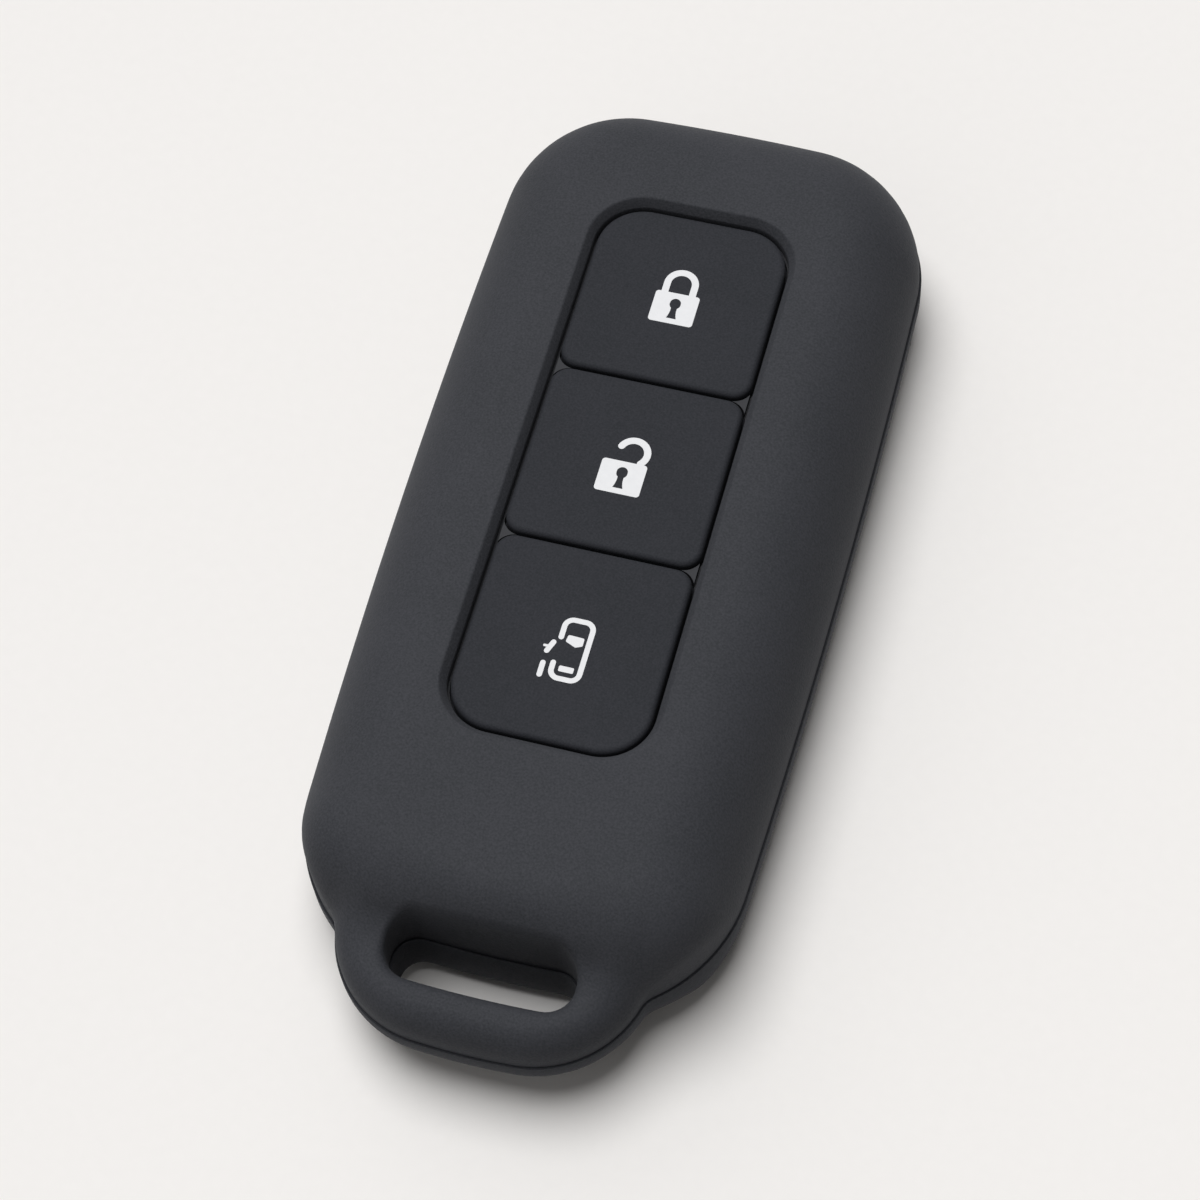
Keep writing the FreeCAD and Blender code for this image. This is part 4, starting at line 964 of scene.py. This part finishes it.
barrel, where, level = ringed_barrel(tree, KEY_POINTS, KEY_RINGS)
heading = add_node(tree, MATH, [where["Y"], where["X"]], operation="ARCTAN2")
turn = add_node(tree, MATH, [heading, math.tau], operation="DIVIDE")
late_turn = add_node(tree, MATH, [turn, 1.0 + LATE_SHARE], operation="ADD")
along = add_node(tree, MATH, [late_turn], operation="FRACT")
cap = add_node(tree, "GeometryNodeSampleCurve", {"Curves": cap_curve, "Factor": along}, mode="FACTOR",
               use_all_curves=True).outputs
flange = add_node(tree, "GeometryNodeSampleCurve", {"Curves": flange_curve, "Factor": along}, mode="FACTOR",
                  use_all_curves=True).outputs
inward = add_node(tree, VECTOR, [(0.0, 0.0, 1.0), cap["Tangent"]], operation="CROSS_PRODUCT")
print("a key:", KEY_RINGS + 1, "rings of", KEY_POINTS, "points")

# %% Rounded edge of a key
edge_share = add_node(tree, MATH, [level, 1 / EDGE_STEPS, -EDGE_LEVEL / EDGE_STEPS],
                      operation="MULTIPLY_ADD", use_clamp=True)
angle = add_node(tree, MATH, [edge_share, math.pi / 2], operation="MULTIPLY")
past_edge = add_node(tree, MATH, [level, KEY_RINGS - 0.5], operation="GREATER_THAN")
margin = add_node(tree, MATH, [past_edge, TOP_MARGIN], operation="MULTIPLY")
fall = add_node(tree, MATH, [angle], operation="COSINE")
in_share = add_node(tree, MATH, [1.0, fall], operation="SUBTRACT")
inset = add_node(tree, MATH, [size["Round"], in_share, margin], operation="MULTIPLY_ADD")
swell = add_node(tree, MATH, [angle], operation="SINE")
drop_share = add_node(tree, MATH, [1.0, swell], operation="SUBTRACT")
drop = add_node(tree, MATH, [size["Round"], drop_share], operation="MULTIPLY")
cap_z = add_node(tree, MATH, [size["Top"], drop], operation="SUBTRACT")

is_base = add_node(tree, MATH, [level, 0.5], operation="LESS_THAN")
in_flange = add_node(tree, MATH, [level, 1.5], operation="LESS_THAN")
below_cap = add_node(tree, MATH, [level, 2.5], operation="LESS_THAN")
low_z = add_node(tree, MIX, {"Factor": is_base, "A": size["Shelf"], "B": size["Base"]})
z = add_node(tree, MIX, {"Factor": below_cap, "A": cap_z, "B": low_z})
flat = add_node(tree, MIX, {"Factor": in_flange, "A": cap["Position"], "B": flange["Position"]},
                data_type="VECTOR")
step_in = add_node(tree, VECTOR, {0: inward, "Scale": inset}, operation="SCALE")
plan = add_node(tree, VECTOR, [flat, step_in], operation="ADD")
moved = add_node(tree, VECTOR, [plan, add_node(tree, JOIN, {"Z": z})], operation="ADD")
end_tree(tree, add_node(tree, MOVE, {"Geometry": barrel, "Position": moved}), key_plastic)
print("the edge of a key is rounded in", EDGE_STEPS, "steps of a", KEY_ROUND, "mm radius")

# %% Three keys
for key, (low, high) in KEY_ENDS.items():
    at_low, at_high = key == "door", key == "lock"
    mesh = grown(tree, f"key_{key}", Width=2 * KEY_HALF, Low=low, High=high,
                 LowCorner=OUTER_CORNER if at_low else INNER_CORNER,
                 HighCorner=OUTER_CORNER if at_high else INNER_CORNER,
                 LowFlange=FLANGE_WIDTH * at_low, HighFlange=FLANGE_WIDTH * at_high)
    add_piece(outward(mesh), key, "key_plastic", key_plastic, f"{key}_key")

# %% [markdown]
# ## Return domes
# Under each key a silicone cone lifts it back after a press. It is a lathe shape, which a Screw modifier
# could spin. Here a Mesh Grid is rolled up instead: its length goes round the cone, and its width goes up
# the outside and down the inside, so that one tree serves all three.

# %% Dome tree
FRAME_TOP, DOME_KEEP = 12.2, 0.3
POST_ROOM, DOME_WALL, DOME_FLARE, DOME_WAIST = 2.15, 0.5, 1.6, 0.12
DOME_RINGS, DOME_POINTS = 10, 64

tree, size = new_tree("return_dome", Inner=POST_ROOM, Wall=DOME_WALL, Flare=DOME_FLARE, Low=FRAME_TOP,
                      High=KEY_LOW, Middle=0.0)
sheet = add_node(tree, "GeometryNodeMeshGrid", {"Vertices X": DOME_POINTS + 1, "Size X": 1.0,
                                                "Vertices Y": 2 * DOME_RINGS + 1, "Size Y": 1.0})
where = add_node(tree, SPLIT, [add_node(tree, POSITION)]).outputs
turn = add_node(tree, MATH, [where["X"], math.tau, math.pi], operation="MULTIPLY_ADD")
way = add_node(tree, MATH, [where["Y"], 2.0, 1.0], operation="MULTIPLY_ADD")
is_inner = add_node(tree, MATH, [way, 1.0], operation="GREATER_THAN")
climb = add_node(tree, MATH, [way, 1.0], operation="PINGPONG")

wave = add_node(tree, MATH, [climb, math.pi], operation="MULTIPLY")
bulge = add_node(tree, MATH, [wave], operation="SINE")
waist = add_node(tree, MATH, [bulge, DOME_WAIST], operation="MULTIPLY")
left = add_node(tree, MATH, [1.0, climb], operation="SUBTRACT")
slant = add_node(tree, MATH, [size["Flare"], left, size["Inner"]], operation="MULTIPLY_ADD")
is_outer = add_node(tree, MATH, [1.0, is_inner], operation="SUBTRACT")
wide = add_node(tree, MATH, [size["Wall"], is_outer, slant], operation="MULTIPLY_ADD")
radius = add_node(tree, MATH, [wide, waist], operation="SUBTRACT")

across = add_node(tree, MATH, [turn], operation="COSINE")
ahead = add_node(tree, MATH, [turn], operation="SINE")
x = add_node(tree, MATH, [radius, across], operation="MULTIPLY")
y = add_node(tree, MATH, [radius, ahead, size["Middle"]], operation="MULTIPLY_ADD")
z = add_node(tree, MIX, {"Factor": climb, "A": size["Low"], "B": size["High"]})
dome = add_node(tree, MOVE, {"Geometry": sheet, "Position": add_node(tree, JOIN, [x, y, z])})
end_tree(tree, dome, dome_rubber)
print("a dome:", 2 * DOME_RINGS + 1, "rings of", DOME_POINTS + 1, "points")

# %% Three domes
for key, (low, high) in KEY_ENDS.items():
    mesh = grown(tree, f"dome_{key}", Middle=(low + high) / 2)
    piece = add_piece(outward(mesh), "front", "dome_rubber", dome_rubber, f"{key}_dome")
    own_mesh(piece)

# %% [markdown]
# ## Pieces kept from the CAD model
# The mat with its raised web, the frame, the posts and the pictograms already have their real shapes, so
# they stay. Each only needs its finish. The pictograms end a fiftieth of a millimetre above the keys, as a
# second shot of plastic does once it has shrunk on to the first.

# %% Finishes for the CAD pieces
def paint(node, material):
    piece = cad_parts[node]
    for slot in piece.material_slots:
        slot.material = material


paint("keypad_mat", mat_rubber)
paint("keypad_frame", inner_plastic)
for key in KEY_ENDS:
    paint(f"{key}_post", inner_plastic)
    paint(f"{key}_symbol", white_inlay)
print("painted the mat, the frame, the posts and the pictograms")
